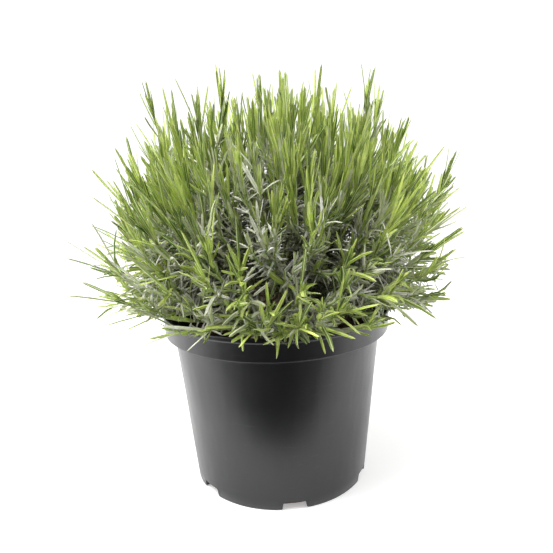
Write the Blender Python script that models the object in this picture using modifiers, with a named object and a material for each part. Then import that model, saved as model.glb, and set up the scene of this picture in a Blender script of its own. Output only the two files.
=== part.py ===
"""Potted lavender: a nursery pot of soil, a woody crown and the leafy branches on it.

Metres, +Z up. The foot of the pot stands on Z = 0 and its axis is the Z axis; -Y is the front.
"""

import math
import random
from dataclasses import dataclass, field

import bmesh
import bpy
import numpy as np
from mathutils import Matrix, Vector, noise
from mathutils.bvhtree import BVHTree

GAP = 0.0003                    # clearance between pieces that touch

# nursery pot
POT_HEIGHT = 0.148
RIM_RADIUS = 0.095              # outside, at the top edge
RIM_BAND = 0.018                # height of the stepped-out band
RIM_FOOT_RADIUS = 0.0938        # outside, at the lower edge of the band
NECK_RADIUS = 0.0862            # outside, just below the band
FOOT_RADIUS = 0.0737
WALL = 0.0014
FLOOR_UNDER = 0.0035
FLOOR = 0.0015
FOOT_RING = 0.0034
FOOT_DRAFT = 0.0012             # how far the ring's inner side slopes
STEP_SLOPE = 0.0006             # rise of the step from the neck out to the band
POT_SIDES = 40
NOTCHES = 6
NOTCH_WIDTH = 0.018
NOTCH_HEIGHT = 0.0058
NOTCH_REACH = 0.012             # how far a notch runs in from the wall
NOTCH_TAPER = 0.004             # how much narrower its roof is than its mouth
NOTCH_TURN = math.radians(-83)
LEDGE_TOP = 0.0035              # the small ledge under the rim's top edge
LEDGE_FOOT = 0.0039
LEDGE_STEP = 0.0006
RIM_DRAFT = 0.0002              # how far the rim narrows from its top edge to the ledge
CUT_OUT = 0.004                 # how far a notch's cutter reaches past the wall
CUT_DOWN = 0.002                # and below the foot

# soil
SOIL_TOP = 0.1265
SOIL_ROUGH = 0.0016
SOIL_SIDES = 40
SOIL_RINGS = (0.070, 0.054, 0.038, 0.026)
SOIL_LUMPS = 45                 # lumps a metre
SOIL_FIT = 0.0002               # what the soil stands back from the wall beyond GAP
HOLE_RADIUS = 0.0125
HOLE_FOOT = 0.086

# woody crown
CROWN_CENTRE = 0.1315
CROWN_RADIUS = 0.0205
CROWN_KNOBS = 0.07
KNOB_FINENESS = 190
CROWN_OVER_SOIL = 0.0021
TRUNK_RADIUS = 0.0095
TRUNK_SIDES = 10
TRUNK_IN_CROWN = 0.004          # how far the trunk reaches above the crown's centre

# head of foliage: leaf tips lie about an ellipsoid
HEAD_CENTRE = 0.190
HEAD_REACH = 0.156
HEAD_RISE = 0.147
HEAD_SPREAD = 1.20              # 1 stops the spiral at the height of the head's centre
BRANCHES = 50
SEED = "lavender 21"
SILVER_EACH = 4                 # one branch in this many is an old silver one
GOLDEN_ANGLE = math.pi * (3 - math.sqrt(5))
FORK_OFFSET = 0.021
LOWEST_LEAN = 1.78
LOWEST_GROWTH = 0.118           # no leaf hangs lower outside the rim

# growth
FOOT_LEAN = 0.86                # a branch's first direction, as a share of its lean
LOWEST_FOOT = math.radians(84)
STAND_RADIUS = 0.0022           # how wide a branch's foot stands on the crown
FOOT_RUN = 0.010                # how far it runs straight from there
FORK_SINK = 0.001               # how far a forked shoot starts inside its branch
HALF_BAND = 0.0009              # half the height of the band that carries a leaf pair
LIFT = 0.003                    # step by which a branch is raised over the rim
LIFTS = 20
PLANS = 30                      # how many plans a branch may try
LEAF_PLANS = 8
STEM_CLEARANCE = 0.0008         # between the stems of two branches
FORK_CLEARANCE = 0.002          # between the shoots of one branch
LEAF_CLEARANCE = 0.0004         # from other branches
OWN_CLEARANCE = 0.0003          # from the branch's other shoots and leaves
OUTER_CLEARANCE = 0.0005        # of a blade's outer part from all of its branch
POT_CLEARANCE = 0.0015
CURVE_POT_CLEARANCE = 0.0025
SHARPEST_TURN = 0.8
SHORTEST_STEP = 0.0012


@dataclass
class Habit:
    """How one kind of branch grows."""

    name: str
    shoots: int
    reach: tuple                # share of the head's size that its tips reach
    fork: float                 # where along a branch its shoots part
    nodes: tuple                # leaf pairs: (place along the shoot, spread in degrees, length)
    width: float
    girth: tuple                # radius at the foot, at the fork and at the end
    tip_leaf: float             # what the last leaves add beyond the shoot's end
    droop: float


GREEN = Habit("green_branch", 3, (0.90, 1.03), 0.50, ((0.50, 38, 0.036), (0.97, 15, 0.042)),
              0.0034, (0.0018, 0.0014, 0.0010), 0.038, 0.10)
SILVER = Habit("silver_branch", 2, (0.66, 0.88), 0.52, ((0.45, 60, 0.022), (0.96, 34, 0.026)),
               0.0042, (0.0017, 0.0013, 0.0010), 0.020, 0.22)
LEAF_THICKNESS = 0.0009


@dataclass
class Leaf:
    """One blade: its line from the stem's face to the tip, and which way it faces."""

    root: Vector
    heading: Vector
    length: float
    bend: Vector
    face: Vector
    width: float

    def at(self, share):
        """The point at a share of the blade's length."""
        return self.root + self.heading * self.length * share + self.bend * self.length * share ** 2


@dataclass
class Shoot:
    """A square stem as rings along a line; leaf pairs stand on the bands between two rings."""

    line: list
    radii: list
    bands: list                 # one (ring, pair) for each leaf pair
    stand: Vector               # which way the first ring faces
    across: Vector = None       # where one face of the square looks, at the first ring
    leaves: dict = field(default_factory=dict)

    def turn_section(self, roll, side):
        """Sets where the square's faces look: turned by a roll from a level direction."""
        flat = (side - self.stand * side.dot(self.stand)).normalized()
        self.across = flat * math.cos(roll) + self.stand.cross(flat) * math.sin(roll)

    def frames(self):
        """For each ring, the directions of two faces and of the stem, carried along the line."""
        turned_way = self.across
        frames = []
        starts = {ring for ring, _ in self.bands}
        for step in range(len(self.line)):
            before, after = max(step - 1, 0), min(step + 1, len(self.line) - 1)
            if step in starts:
                before = step
            elif step - 1 in starts:
                after = step
            way = (self.line[after] - self.line[before]).normalized() if step else self.stand
            turned_way = (turned_way - way * turned_way.dot(way)).normalized()
            frames.append((turned_way, way.cross(turned_way), way))
        return frames


@dataclass
class Branch:
    """A branch: a first shoot that stands on the crown, and the shoots that fork from it."""

    habit: Habit
    index: int
    shoots: list = field(default_factory=list)


# ---------------------------------------------------------------- shared helpers

def clear_scene():
    """Removes what a new file holds."""
    for thing in list(bpy.data.objects):
        bpy.data.objects.remove(thing)


def new_collection(name):
    """A collection linked to the scene."""
    group = bpy.data.collections.new(name)
    bpy.context.scene.collection.children.link(group)
    return group


def finish(name, colour, roughness):
    """A plain Principled material."""
    material = bpy.data.materials.new(name)
    material.use_nodes = True
    shader = material.node_tree.nodes["Principled BSDF"]
    shader.inputs["Base Color"].default_value = (*colour, 1)
    shader.inputs["Roughness"].default_value = roughness
    return material


def object_of(name, body, group):
    """An object made from a bmesh, in the collection given."""
    mesh = bpy.data.meshes.new(name)
    body.to_mesh(mesh)
    body.free()
    thing = bpy.data.objects.new(name, mesh)
    group.objects.link(thing)
    return thing


def apply_modifiers(thing):
    """Leaves the object with the mesh that its modifiers give."""
    graph = bpy.context.evaluated_depsgraph_get()
    mesh = bpy.data.meshes.new_from_object(thing.evaluated_get(graph))
    thing.modifiers.clear()
    old = thing.data
    thing.data = mesh
    mesh.name = thing.name
    bpy.data.meshes.remove(old)


def face_outward(body):
    """Turns every face of a closed body outwards."""
    bmesh.ops.recalc_face_normals(body, faces=body.faces)
    if body.calc_volume(signed=True) < 0:
        bmesh.ops.reverse_faces(body, faces=body.faces)


def turned(name, profile, sides, group):
    """A solid turned about Z from a profile that starts and ends on the axis."""
    mesh = bpy.data.meshes.new(name)
    mesh.from_pydata([(r, 0, z) for r, z in profile],
                     [(i, i + 1) for i in range(len(profile) - 1)], [])
    thing = bpy.data.objects.new(name, mesh)
    group.objects.link(thing)
    screw = thing.modifiers.new("turn", "SCREW")
    screw.axis = "Z"
    screw.steps = screw.render_steps = sides
    screw.use_merge_vertices = True
    screw.merge_threshold = 0.00001
    apply_modifiers(thing)
    body = bmesh.new()
    body.from_mesh(thing.data)
    face_outward(body)
    body.to_mesh(thing.data)
    body.free()
    return thing


def join_with(thing, others, solver, operation="UNION"):
    """Applies one Boolean with everything in a collection, and removes the collection's objects."""
    boolean = thing.modifiers.new("join", "BOOLEAN")
    boolean.operation = operation
    boolean.solver = solver
    boolean.operand_type = "COLLECTION"
    boolean.collection = others
    apply_modifiers(thing)
    for other in list(others.objects):
        bpy.data.objects.remove(other)
    bpy.data.collections.remove(others)


def add_leaf(body, base, leaf, way, look):
    """Draws one blade out of a face of the stem: out to its widest, then to its tip."""
    sideways = way.cross(look)
    along = (leaf.at(0.6) - leaf.at(0.4)).normalized()
    face = (leaf.face - along * leaf.face.dot(along)).normalized()
    across = along.cross(face)
    if across.dot(sideways) < 0:
        across = -across
    grown = bmesh.ops.extrude_discrete_faces(body, faces=[base])["faces"][0]
    centre = grown.calc_center_median()
    for vert in grown.verts:
        offset = vert.co - centre
        wide = math.copysign(0.5, offset.dot(sideways))
        high = math.copysign(0.5, offset.dot(way))
        vert.co = leaf.at(0.5) + across * wide * leaf.width + face * high * LEAF_THICKNESS
    tip = bmesh.ops.poke(body, faces=[grown])["verts"][0]
    tip.co = leaf.at(1)


def add_shoot(name, shoot, group):
    """A square tube through the shoot's rings, with its leaves drawn out of its faces."""
    count = len(shoot.line) - 1
    body = bmesh.new()
    bmesh.ops.create_cone(body, cap_ends=True, segments=4, radius1=1, radius2=1, depth=count)
    bmesh.ops.translate(body, verts=body.verts, vec=(0, 0, count / 2))
    for step in range(1, count):
        bmesh.ops.bisect_plane(body, geom=body.verts[:] + body.edges[:] + body.faces[:],
                               dist=1e-6, plane_co=(0, 0, step), plane_no=(0, 0, 1))
    frames = shoot.frames()
    rings = {vert: round(vert.co.z) for vert in body.verts}
    for vert, step in rings.items():
        angle = math.atan2(vert.co.y, vert.co.x) + math.pi / 4
        across, up, _ = frames[step]
        vert.co = shoot.line[step] + (across * math.cos(angle)
                                      + up * math.sin(angle)) * shoot.radii[step]
    bmesh.ops.recalc_face_normals(body, faces=body.faces)
    for ring, pair in shoot.bands:
        band = [f for f in body.faces if len(f.verts) == 4
                and {rings.get(v) for v in f.verts} == {ring, ring + 1}]
        for half in range(2):
            leaf = shoot.leaves.get((pair, half))
            if leaf:
                look = face_of(shoot, frames, ring, pair, half)
                base = max(band, key=lambda f: f.calc_center_median().dot(look))
                band.remove(base)
                add_leaf(body, base, leaf, frames[ring][2], look)
    face_outward(body)
    return object_of(name, body, group)


def face_of(shoot, frames, ring, pair, half):
    """Where the stem's face under a leaf looks: each pair stands crosswise to the one below."""
    across, up, _ = frames[ring]
    look = across if pair % 2 == 0 else up
    return look if half == 0 else -look


def bezier(controls, share):
    """The point at a share of a cubic through four controls."""
    a, b, c, d = controls
    rest = 1 - share
    return a * rest ** 3 + b * 3 * rest ** 2 * share + c * 3 * rest * share ** 2 + d * share ** 3


# ---------------------------------------------------------------- pot and soil

def wall_inside(z):
    """Inside radius of the pot's body at a height."""
    neck = POT_HEIGHT - RIM_BAND
    return FOOT_RADIUS - WALL + (NECK_RADIUS - FOOT_RADIUS) * min(z, neck) / neck


def build_pot(parts):
    """The moulded pot: tapered body, stepped rim band with a lip, foot ring and drain notches."""
    neck = POT_HEIGHT - RIM_BAND
    floor_top = FLOOR_UNDER + FLOOR
    profile = [
        (0, FLOOR_UNDER),
        (FOOT_RADIUS - FOOT_RING - FOOT_DRAFT, FLOOR_UNDER),
        (FOOT_RADIUS - FOOT_RING, 0),
        (FOOT_RADIUS, 0),
        (NECK_RADIUS, neck - STEP_SLOPE),
        (RIM_FOOT_RADIUS, neck),
        (RIM_RADIUS - RIM_DRAFT - LEDGE_STEP, POT_HEIGHT - LEDGE_FOOT),
        (RIM_RADIUS - RIM_DRAFT, POT_HEIGHT - LEDGE_TOP),
        (RIM_RADIUS, POT_HEIGHT),
        (RIM_RADIUS - WALL, POT_HEIGHT),
        (RIM_FOOT_RADIUS - WALL, neck + WALL),
        (wall_inside(neck), neck + WALL - STEP_SLOPE),
        (wall_inside(floor_top), floor_top),
        (0, floor_top),
    ]
    pot = turned("nursery_pot", profile[::-1], POT_SIDES, parts)
    notches = new_collection("notches")
    inner = FOOT_RADIUS - NOTCH_REACH
    outer = FOOT_RADIUS + CUT_OUT
    height = NOTCH_HEIGHT + CUT_DOWN
    for place in range(NOTCHES):
        body = bmesh.new()
        bmesh.ops.create_cube(body, size=1)
        for vert in body.verts:
            width = NOTCH_WIDTH - (NOTCH_TAPER if vert.co.z > 0 else 0)
            vert.co = Vector(((inner + outer) / 2 + vert.co.x * (outer - inner),
                              vert.co.y * width,
                              NOTCH_HEIGHT - height / 2 + vert.co.z * height))
        turn = Matrix.Rotation(NOTCH_TURN + place * math.tau / NOTCHES, 4, "Z")
        bmesh.ops.transform(body, matrix=turn, verts=body.verts)
        object_of(f"notch_{place}", body, notches)
    join_with(pot, notches, "EXACT", "DIFFERENCE")
    pot.data.materials.append(finish("pot_plastic", (0.012, 0.012, 0.014), 0.35))
    return pot


def build_soil(parts):
    """The soil that fills the pot: an uneven top, and a plain hole for the trunk."""
    foot = FLOOR_UNDER + FLOOR + GAP
    back = GAP + SOIL_FIT
    profile = [(0, foot), (wall_inside(foot) - back, foot)]
    profile += [(radius, SOIL_TOP)
                for radius in (wall_inside(SOIL_TOP) - back, *SOIL_RINGS, HOLE_RADIUS)]
    profile += [(HOLE_RADIUS, HOLE_FOOT), (0, HOLE_FOOT)]
    soil = turned("potting_soil", profile[::-1], SOIL_SIDES, parts)
    for vert in soil.data.vertices:
        on_top = vert.co.z > SOIL_TOP - 0.001
        if on_top and SOIL_RINGS[-2] - 0.001 < vert.co.xy.length < SOIL_RINGS[0] + 0.001:
            vert.co.z += SOIL_ROUGH * noise.noise(vert.co * SOIL_LUMPS)
    soil.data.materials.append(finish("soil_mix", (0.022, 0.014, 0.009), 0.95))
    return soil


def build_crown(parts):
    """The woody crown: a knobbly head on a short trunk that stands in the soil."""
    body = bmesh.new()
    bmesh.ops.create_icosphere(body, subdivisions=3, radius=CROWN_RADIUS)
    for vert in body.verts:
        knob = 1 + CROWN_KNOBS * noise.noise(vert.co * KNOB_FINENESS + Vector((3, 7, 1)))
        vert.co = vert.co * knob
        underside = SOIL_TOP + CROWN_OVER_SOIL - CROWN_CENTRE
        vert.co.z = max(vert.co.z, underside - 0.0002 * vert.co.xy.length) + CROWN_CENTRE
    bmesh.ops.dissolve_degenerate(body, dist=1e-5, edges=body.edges)
    crown = object_of("woody_crown", body, parts)
    foot, head = HOLE_FOOT + GAP, CROWN_CENTRE + TRUNK_IN_CROWN
    trunk = bmesh.new()
    bmesh.ops.create_cone(trunk, cap_ends=True, segments=TRUNK_SIDES, radius1=TRUNK_RADIUS * 0.8,
                          radius2=TRUNK_RADIUS * 1.15, depth=head - foot)
    bmesh.ops.translate(trunk, verts=trunk.verts, vec=(0, 0, (head + foot) / 2))
    group = new_collection("trunks")
    object_of("trunk", trunk, group)
    join_with(crown, group, "EXACT")
    crown.data.materials.append(finish("old_bark", (0.13, 0.08, 0.045), 0.9))
    return crown


# ---------------------------------------------------------------- growth

class Space:
    """What is already grown, as round-ended rods, for finding clear places."""

    def __init__(self):
        self.rods = np.zeros((0, 9))        # start, end, radius, branch, piece of the branch

    def add(self, line, radii, branch, piece):
        """Adds the rods of a line."""
        for a, b, thick in zip(line, line[1:], map(max, radii, radii[1:])):
            self.rods = np.vstack((self.rods, (*a, *b, thick, branch, piece)))

    def of_branch(self, branch):
        """Which rods are the branch's own."""
        return self.rods[:, 7] == branch

    def room(self, line, radii, chosen):
        """Least clearance between a line's rods and the chosen rods."""
        rods = self.rods[chosen]
        if not len(rods):
            return 1.0
        starts, ways, thick = rods[:, :3], rods[:, 3:6] - rods[:, :3], rods[:, 6]
        least = 1.0
        for i in range(len(line) - 1):
            p, q = np.array(line[i]), np.array(line[i + 1])
            u, w = q - p, starts - p
            a, c = u @ u, (ways * ways).sum(1)
            b, d, e = ways @ u, w @ u, (w * ways).sum(1)
            s = np.clip((d * c - b * e) / np.maximum(a * c - b * b, 1e-18), 0, 1)
            t = np.clip((b * s - e) / c, 0, 1)
            s = np.clip((b * t + d) / a, 0, 1)
            gaps = np.linalg.norm(w + t[:, None] * ways - s[:, None] * u, axis=1) - thick
            least = min(least, gaps.min() - max(radii[i], radii[i + 1]))
        return least


def above_pot(point, spare):
    """Whether a point is clear of the soil and of the rim by the spare given."""
    out = point.xy.length
    if out < NECK_RADIUS:
        return point.z > SOIL_TOP + SOIL_ROUGH + spare
    if out < RIM_RADIUS + spare:
        return point.z > POT_HEIGHT + spare
    return point.z > LOWEST_GROWTH


def fit_above(line, spare):
    """Whether a whole line is clear of the pot and the soil."""
    for a, b in zip(line, line[1:]):
        if not all(above_pot(a.lerp(b, k / 6), spare) for k in range(7)):
            return False
    return True


def head_point(lean, turn, reach):
    """A point of the head of foliage, at a share of its reach."""
    out = HEAD_REACH * math.sin(lean) * reach
    return Vector((out * math.cos(turn), out * math.sin(turn),
                   HEAD_CENTRE + HEAD_RISE * math.cos(lean) * reach))


def heading_of(lean, turn):
    """Unit vector leaning from the vertical towards a turn about Z."""
    return Vector((math.sin(lean) * math.cos(turn), math.sin(lean) * math.sin(turn),
                   math.cos(lean)))


def tilt_at(lean):
    """How far a shoot tilts from the vertical at a place of the head."""
    return lean * (0.30 + 0.45 * (lean / 1.77) ** 2.5)


def foot_of(crown_tree, foot_way, side):
    """Where a branch that leaves the crown's centre in a direction stands on its surface."""
    centre = Vector((0, 0, CROWN_CENTRE))
    up = foot_way.cross(side).normalized()
    spots = [centre + (side * math.cos(k * math.tau / 6)
                       + up * math.sin(k * math.tau / 6)) * STAND_RADIUS for k in range(6)]
    reach = 0
    for spot in (*spots, centre):
        hit = crown_tree.ray_cast(spot + foot_way * CROWN_RADIUS * 3, -foot_way)[0]
        reach = max(reach, (hit - centre).dot(foot_way))
    return centre + foot_way * (reach + GAP)


def plan_branch(index, attempt, crown_tree):
    """One branch's stems, by its place on the spiral and its own random draws."""
    draw = random.Random(f"{SEED} branch {index} {attempt}")
    habit = SILVER if index % SILVER_EACH == SILVER_EACH - 1 else GREEN
    lean = math.acos(1 - (index + 0.5) / BRANCHES * HEAD_SPREAD)
    turn = index * GOLDEN_ANGLE + draw.uniform(-0.12, 0.12)
    side = Vector((-math.sin(turn), math.cos(turn), 0))
    foot_way = heading_of(min(lean * FOOT_LEAN, LOWEST_FOOT), index * GOLDEN_ANGLE)
    foot = foot_of(crown_tree, foot_way, side)

    aim = head_point(lean, turn, draw.uniform(*habit.reach))
    end_way = heading_of(tilt_at(lean) + draw.uniform(-0.06, 0.06), turn)
    end = aim - end_way * habit.tip_leaf
    span = (end - foot).length
    for lift in range(LIFTS):
        controls = (foot, foot + foot_way * FOOT_RUN,
                    end - end_way * span * 0.36 + Vector((0, 0, LIFT * lift)), end)
        if fit_above([bezier(controls, k / 12) for k in range(1, 13)], CURVE_POT_CLEARANCE):
            break

    branch = Branch(habit, index)
    up = side.cross(end_way).normalized()
    spin = draw.uniform(0, math.tau)
    for place in range(habit.shoots):
        angle = spin + place * math.tau / habit.shoots + draw.uniform(-0.3, 0.3)
        around = side * math.cos(angle) + up * math.sin(angle)
        spot = aim + around * FORK_OFFSET * draw.uniform(0.7, 1.0)
        shoot = plan_shoot(habit, draw, controls, spot, place == 0)
        shoot.turn_section(draw.uniform(0, math.pi / 2), side)
        branch.shoots.append(shoot)
    return branch


def plan_shoot(habit, draw, controls, spot, first):
    """A shoot from a branch's fork to a spot; the first one takes in the stem below the fork."""
    foot_girth, fork_girth, end_girth = habit.girth
    main = [bezier(controls, habit.fork * k / 3) for k in range(4)]
    ahead = (bezier(controls, habit.fork + 0.02) - bezier(controls, habit.fork - 0.02)).normalized()
    from_centre = spot - Vector((0, 0, HEAD_CENTRE))
    lean = min(math.atan2(from_centre.xy.length / HEAD_REACH, from_centre.z / HEAD_RISE),
               LOWEST_LEAN)
    turn = math.atan2(spot.y, spot.x)
    spot = head_point(lean, turn, draw.uniform(*habit.reach))
    way = heading_of(tilt_at(lean) + draw.uniform(-0.12, 0.12), turn + draw.uniform(-0.15, 0.15))
    tip = spot - way * habit.tip_leaf
    root = main[-1] - (Vector() if first else ahead * FORK_SINK)
    length = (tip - root).length
    bend = (root, root + ahead * length * 0.3, tip - way * length * 0.35, tip)
    half_band = HALF_BAND / length
    shares, bands = [0.0], []
    for pair, (where, _, _) in enumerate(habit.nodes):
        where = min(where + draw.uniform(-0.05, 0.05), 1 - half_band)
        bands.append((len(shares), pair))
        shares += [where - half_band, where + half_band]
    line = [bezier(bend, share) for share in shares]
    radii = [end_girth + (fork_girth * 0.85 - end_girth) * (1 - share) for share in shares]
    if first:
        line = main + line[1:]
        radii = [foot_girth, fork_girth * 1.15, fork_girth * 1.05, fork_girth] + radii[1:]
        bands = [(ring + 3, pair) for ring, pair in bands]
        ahead = (controls[1] - controls[0]).normalized()
    return Shoot(line, radii, bands, ahead)


def bends_gently(line):
    """Whether a line has no sharp turn and no very short step."""
    steps = [b - a for a, b in zip(line, line[1:])]
    return (min(step.length for step in steps) > SHORTEST_STEP
            and all(a.angle(b) < SHARPEST_TURN for a, b in zip(steps, steps[1:])))


def clear_shoots(branch, space):
    """The shoots of a plan that are clear of all grown so far; none if its first one isn't."""
    own, good = Space(), []
    others = ~space.of_branch(branch.index)
    for place, shoot in enumerate(branch.shoots):
        free = shoot.line[-4:]
        if (fit_above(shoot.line[1:], POT_CLEARANCE) and bends_gently(shoot.line)
                and space.room(shoot.line, shoot.radii, others) > STEM_CLEARANCE
                and own.room(free, shoot.radii[-4:], own.rods[:, 8] >= 0) > FORK_CLEARANCE):
            good.append(shoot)
            own.add(free, shoot.radii[-4:], branch.index, place)
        elif place == 0:
            break
    return good


def grow_stems(crown_tree):
    """All branches' stems, each clear of those before it."""
    space = Space()
    branches = []
    for index in range(BRANCHES):
        best = None
        for attempt in range(PLANS):
            branch = plan_branch(index, attempt, crown_tree)
            good = clear_shoots(branch, space)
            if good and (best is None or len(good) > len(best.shoots)):
                best = branch
                best.shoots = good
            if len(good) == branch.habit.shoots:
                break
        if best is None:
            continue
        for place, shoot in enumerate(best.shoots):
            space.add(shoot.line, shoot.radii, index, place)
        branches.append(best)
    return branches, space


def plan_leaf(branch, place, ring, pair, half, attempt):
    """One blade of an opposite pair."""
    draw = random.Random(f"{SEED} leaf {branch.index} {place} {pair} {half} {attempt}")
    habit = branch.habit
    shoot = branch.shoots[place]
    frames = shoot.frames()
    _, spread, length = habit.nodes[pair]
    way = frames[ring][2]
    look = face_of(shoot, frames, ring, pair, half)
    root = (shoot.line[ring] + shoot.line[ring + 1]) / 2 + look * shoot.radii[ring] * 0.7
    swing = draw.uniform(-0.25, 0.25) * (1 + attempt * 0.2)
    out = look * math.cos(swing) + way.cross(look) * math.sin(swing)
    opening = math.radians(spread * draw.uniform(0.75, 1.2))
    heading = way * math.cos(opening) + out * math.sin(opening)
    face = (way * math.sin(opening) - out * math.cos(opening)).normalized()
    curl = draw.uniform(-0.07, 0.07) if habit is GREEN else draw.uniform(-0.05, 0.25)
    sag = habit.droop * draw.uniform(0.3, 1.0) * (1 if heading.z < 0.85 else 0.2)
    bend = out * curl - Vector((0, 0, sag))
    size = length * draw.uniform(0.85, 1.12) * 0.93 ** attempt
    return Leaf(root, heading, size, bend, face, habit.width * draw.uniform(0.85, 1.15))


def grow_leaf(branch, place, ring, pair, half, space):
    """Grows one leaf, turned or shortened to stay clear of the others, or leaves it out."""
    shoot = branch.shoots[place]
    piece = 10 * (place + 1) + 2 * pair + half
    twin = piece - 1 if half else piece + 1
    own = space.of_branch(branch.index)
    pieces = space.rods[:, 8]
    apart = own & (pieces != place) & (pieces != twin)
    for attempt in range(LEAF_PLANS):
        leaf = plan_leaf(branch, place, ring, pair, half, attempt)
        line = [leaf.at(0), leaf.at(0.25), leaf.at(0.5), leaf.at(1)]
        wide = leaf.width / 2
        radii = [shoot.radii[ring], wide * 0.8, wide, wide * 0.6]
        if (fit_above(line, POT_CLEARANCE)
                and space.room(line, radii, ~own) > LEAF_CLEARANCE
                and space.room(line, radii, apart) > OWN_CLEARANCE
                and space.room(line[1:], radii[1:], own) > OUTER_CLEARANCE):
            shoot.leaves[pair, half] = leaf
            space.add(line, radii, branch.index, piece)
            return


def grow_leaves(branches, space):
    """All leaves, from the first branch to the last."""
    for branch in branches:
        for place, shoot in enumerate(branch.shoots):
            for ring, pair in shoot.bands:
                for half in range(2):
                    grow_leaf(branch, place, ring, pair, half, space)


def build_branch(branch, parts, skin):
    """One branch as a single body: its shoots joined by one union."""
    name = f"{branch.habit.name}_{branch.index + 1:02d}"
    stem = add_shoot(name, branch.shoots[0], parts)
    if branch.shoots[1:]:
        group = new_collection(name + "_shoots")
        for place, shoot in enumerate(branch.shoots[1:]):
            add_shoot(f"{name}_shoot_{place + 2}", shoot, group)
        join_with(stem, group, "EXACT")
    stem.data.materials.append(skin)
    return stem


def main():
    """Builds every part into one collection."""
    clear_scene()
    parts = new_collection("potted_lavender")
    build_pot(parts)
    build_soil(parts)
    crown = build_crown(parts)
    tree = BVHTree.FromPolygons([v.co[:] for v in crown.data.vertices],
                                [p.vertices[:] for p in crown.data.polygons])
    branches, space = grow_stems(tree)
    grow_leaves(branches, space)
    skins = {GREEN.name: finish("young_green", (0.20, 0.36, 0.05), 0.6),
             SILVER.name: finish("old_silver", (0.45, 0.48, 0.42), 0.75)}
    for branch in branches:
        build_branch(branch, parts, skins[branch.habit.name])


main()
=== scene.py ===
"""Looks of the potted lavender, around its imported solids. Metres, +Z up, -Y is the front.

The head of foliage follows the growth rule of the solids: the same branches, forks and leaves,
and between them the finer shoots and leaves that the solids leave out.
"""

import logging
import math
import random
from collections.abc import Callable, Iterator
from contextlib import contextmanager
from dataclasses import dataclass, field
from enum import Enum

import bmesh
import bpy
import numpy as np
from mathutils import Matrix, Vector, noise
from mathutils.bvhtree import BVHTree


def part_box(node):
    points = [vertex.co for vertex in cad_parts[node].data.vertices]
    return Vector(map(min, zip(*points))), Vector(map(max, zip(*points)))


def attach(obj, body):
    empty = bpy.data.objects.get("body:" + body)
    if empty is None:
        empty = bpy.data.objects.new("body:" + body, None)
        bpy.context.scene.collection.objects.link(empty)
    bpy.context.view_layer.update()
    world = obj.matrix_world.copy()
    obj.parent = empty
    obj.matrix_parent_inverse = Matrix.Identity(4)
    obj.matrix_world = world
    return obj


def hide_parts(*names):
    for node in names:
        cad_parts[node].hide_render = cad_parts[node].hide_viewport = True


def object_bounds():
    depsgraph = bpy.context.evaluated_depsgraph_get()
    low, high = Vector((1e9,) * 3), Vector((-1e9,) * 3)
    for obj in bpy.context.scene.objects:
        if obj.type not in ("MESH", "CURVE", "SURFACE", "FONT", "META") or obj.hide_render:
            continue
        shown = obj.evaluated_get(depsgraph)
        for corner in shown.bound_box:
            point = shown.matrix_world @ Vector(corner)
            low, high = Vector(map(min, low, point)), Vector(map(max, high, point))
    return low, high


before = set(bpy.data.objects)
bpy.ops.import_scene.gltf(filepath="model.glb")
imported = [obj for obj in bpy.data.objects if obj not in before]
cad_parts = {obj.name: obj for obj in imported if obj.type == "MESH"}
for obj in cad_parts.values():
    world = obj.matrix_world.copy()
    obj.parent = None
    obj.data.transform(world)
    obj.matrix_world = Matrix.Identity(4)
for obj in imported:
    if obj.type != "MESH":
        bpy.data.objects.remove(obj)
CAD_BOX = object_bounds()
log = logging.getLogger("lavender")


# ---------------------------------------------------------------- work bench

def deselect_all() -> None:
    """Leaves nothing selected and nothing active."""
    for thing in bpy.context.selected_objects:
        thing.select_set(False)
    bpy.context.view_layer.objects.active = None


def held(value: float, least: float = 0.0, most: float = 1.0) -> float:
    """A value kept between two others."""
    return min(most, max(least, value))


def take(thing: bpy.types.Object) -> None:
    """Selects one object alone and makes it active.

    Args:
        thing: the object.
    """
    deselect_all()
    thing.select_set(True)
    bpy.context.view_layer.objects.active = thing


@contextmanager
def editing(thing: bpy.types.Object) -> Iterator[bpy.types.Object]:
    """Edit mode on one object, with all of it selected at first.

    Args:
        thing: the object to shape.

    Yields:
        The same object.
    """
    take(thing)
    bpy.ops.object.mode_set(mode="EDIT")
    bpy.ops.mesh.select_all(action="SELECT")
    yield thing
    bpy.ops.object.mode_set(mode="OBJECT")


def choose(thing: bpy.types.Object, test: Callable[[Vector], bool]) -> int:
    """Selects the points that pass a test, in edit mode.

    Args:
        thing: the object in edit mode.
        test: tells from a point's place whether it is chosen.

    Returns:
        How many points are chosen.
    """
    bpy.ops.mesh.select_mode(type="VERT")
    bpy.ops.mesh.select_all(action="DESELECT")
    body = bmesh.from_edit_mesh(thing.data)
    for vert in body.verts:
        vert.select = test(vert.co)
    body.select_flush(True)
    bmesh.update_edit_mesh(thing.data)
    return sum(vert.select for vert in body.verts)


def drawn_out(rings: list[tuple[float, float]], radius: float, height: float) -> None:
    """Draws the selected ring through further rings by extruding and resizing it.

    Args:
        rings: radius and height of each further ring.
        radius: the selected ring's radius.
        height: the selected ring's height.
    """
    for next_radius, next_height in rings:
        bpy.ops.mesh.extrude_region_move(
            TRANSFORM_OT_translate={"value": (0, 0, next_height - height)})
        share = next_radius / radius
        bpy.ops.transform.resize(value=(share, share, 1), center_override=(0, 0, next_height))
        radius, height = next_radius, next_height


def apply_modifier(thing: bpy.types.Object, kind: str, **values: object) -> None:
    """Adds a modifier with its values and applies it.

    Args:
        thing: the object that it works on.
        kind: the modifier's type.
        **values: the modifier's settings.
    """
    take(thing)
    modifier = thing.modifiers.new(kind.lower(), kind)
    for name, value in values.items():
        setattr(modifier, name, value)
    bpy.ops.object.modifier_apply(modifier=modifier.name)


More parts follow.
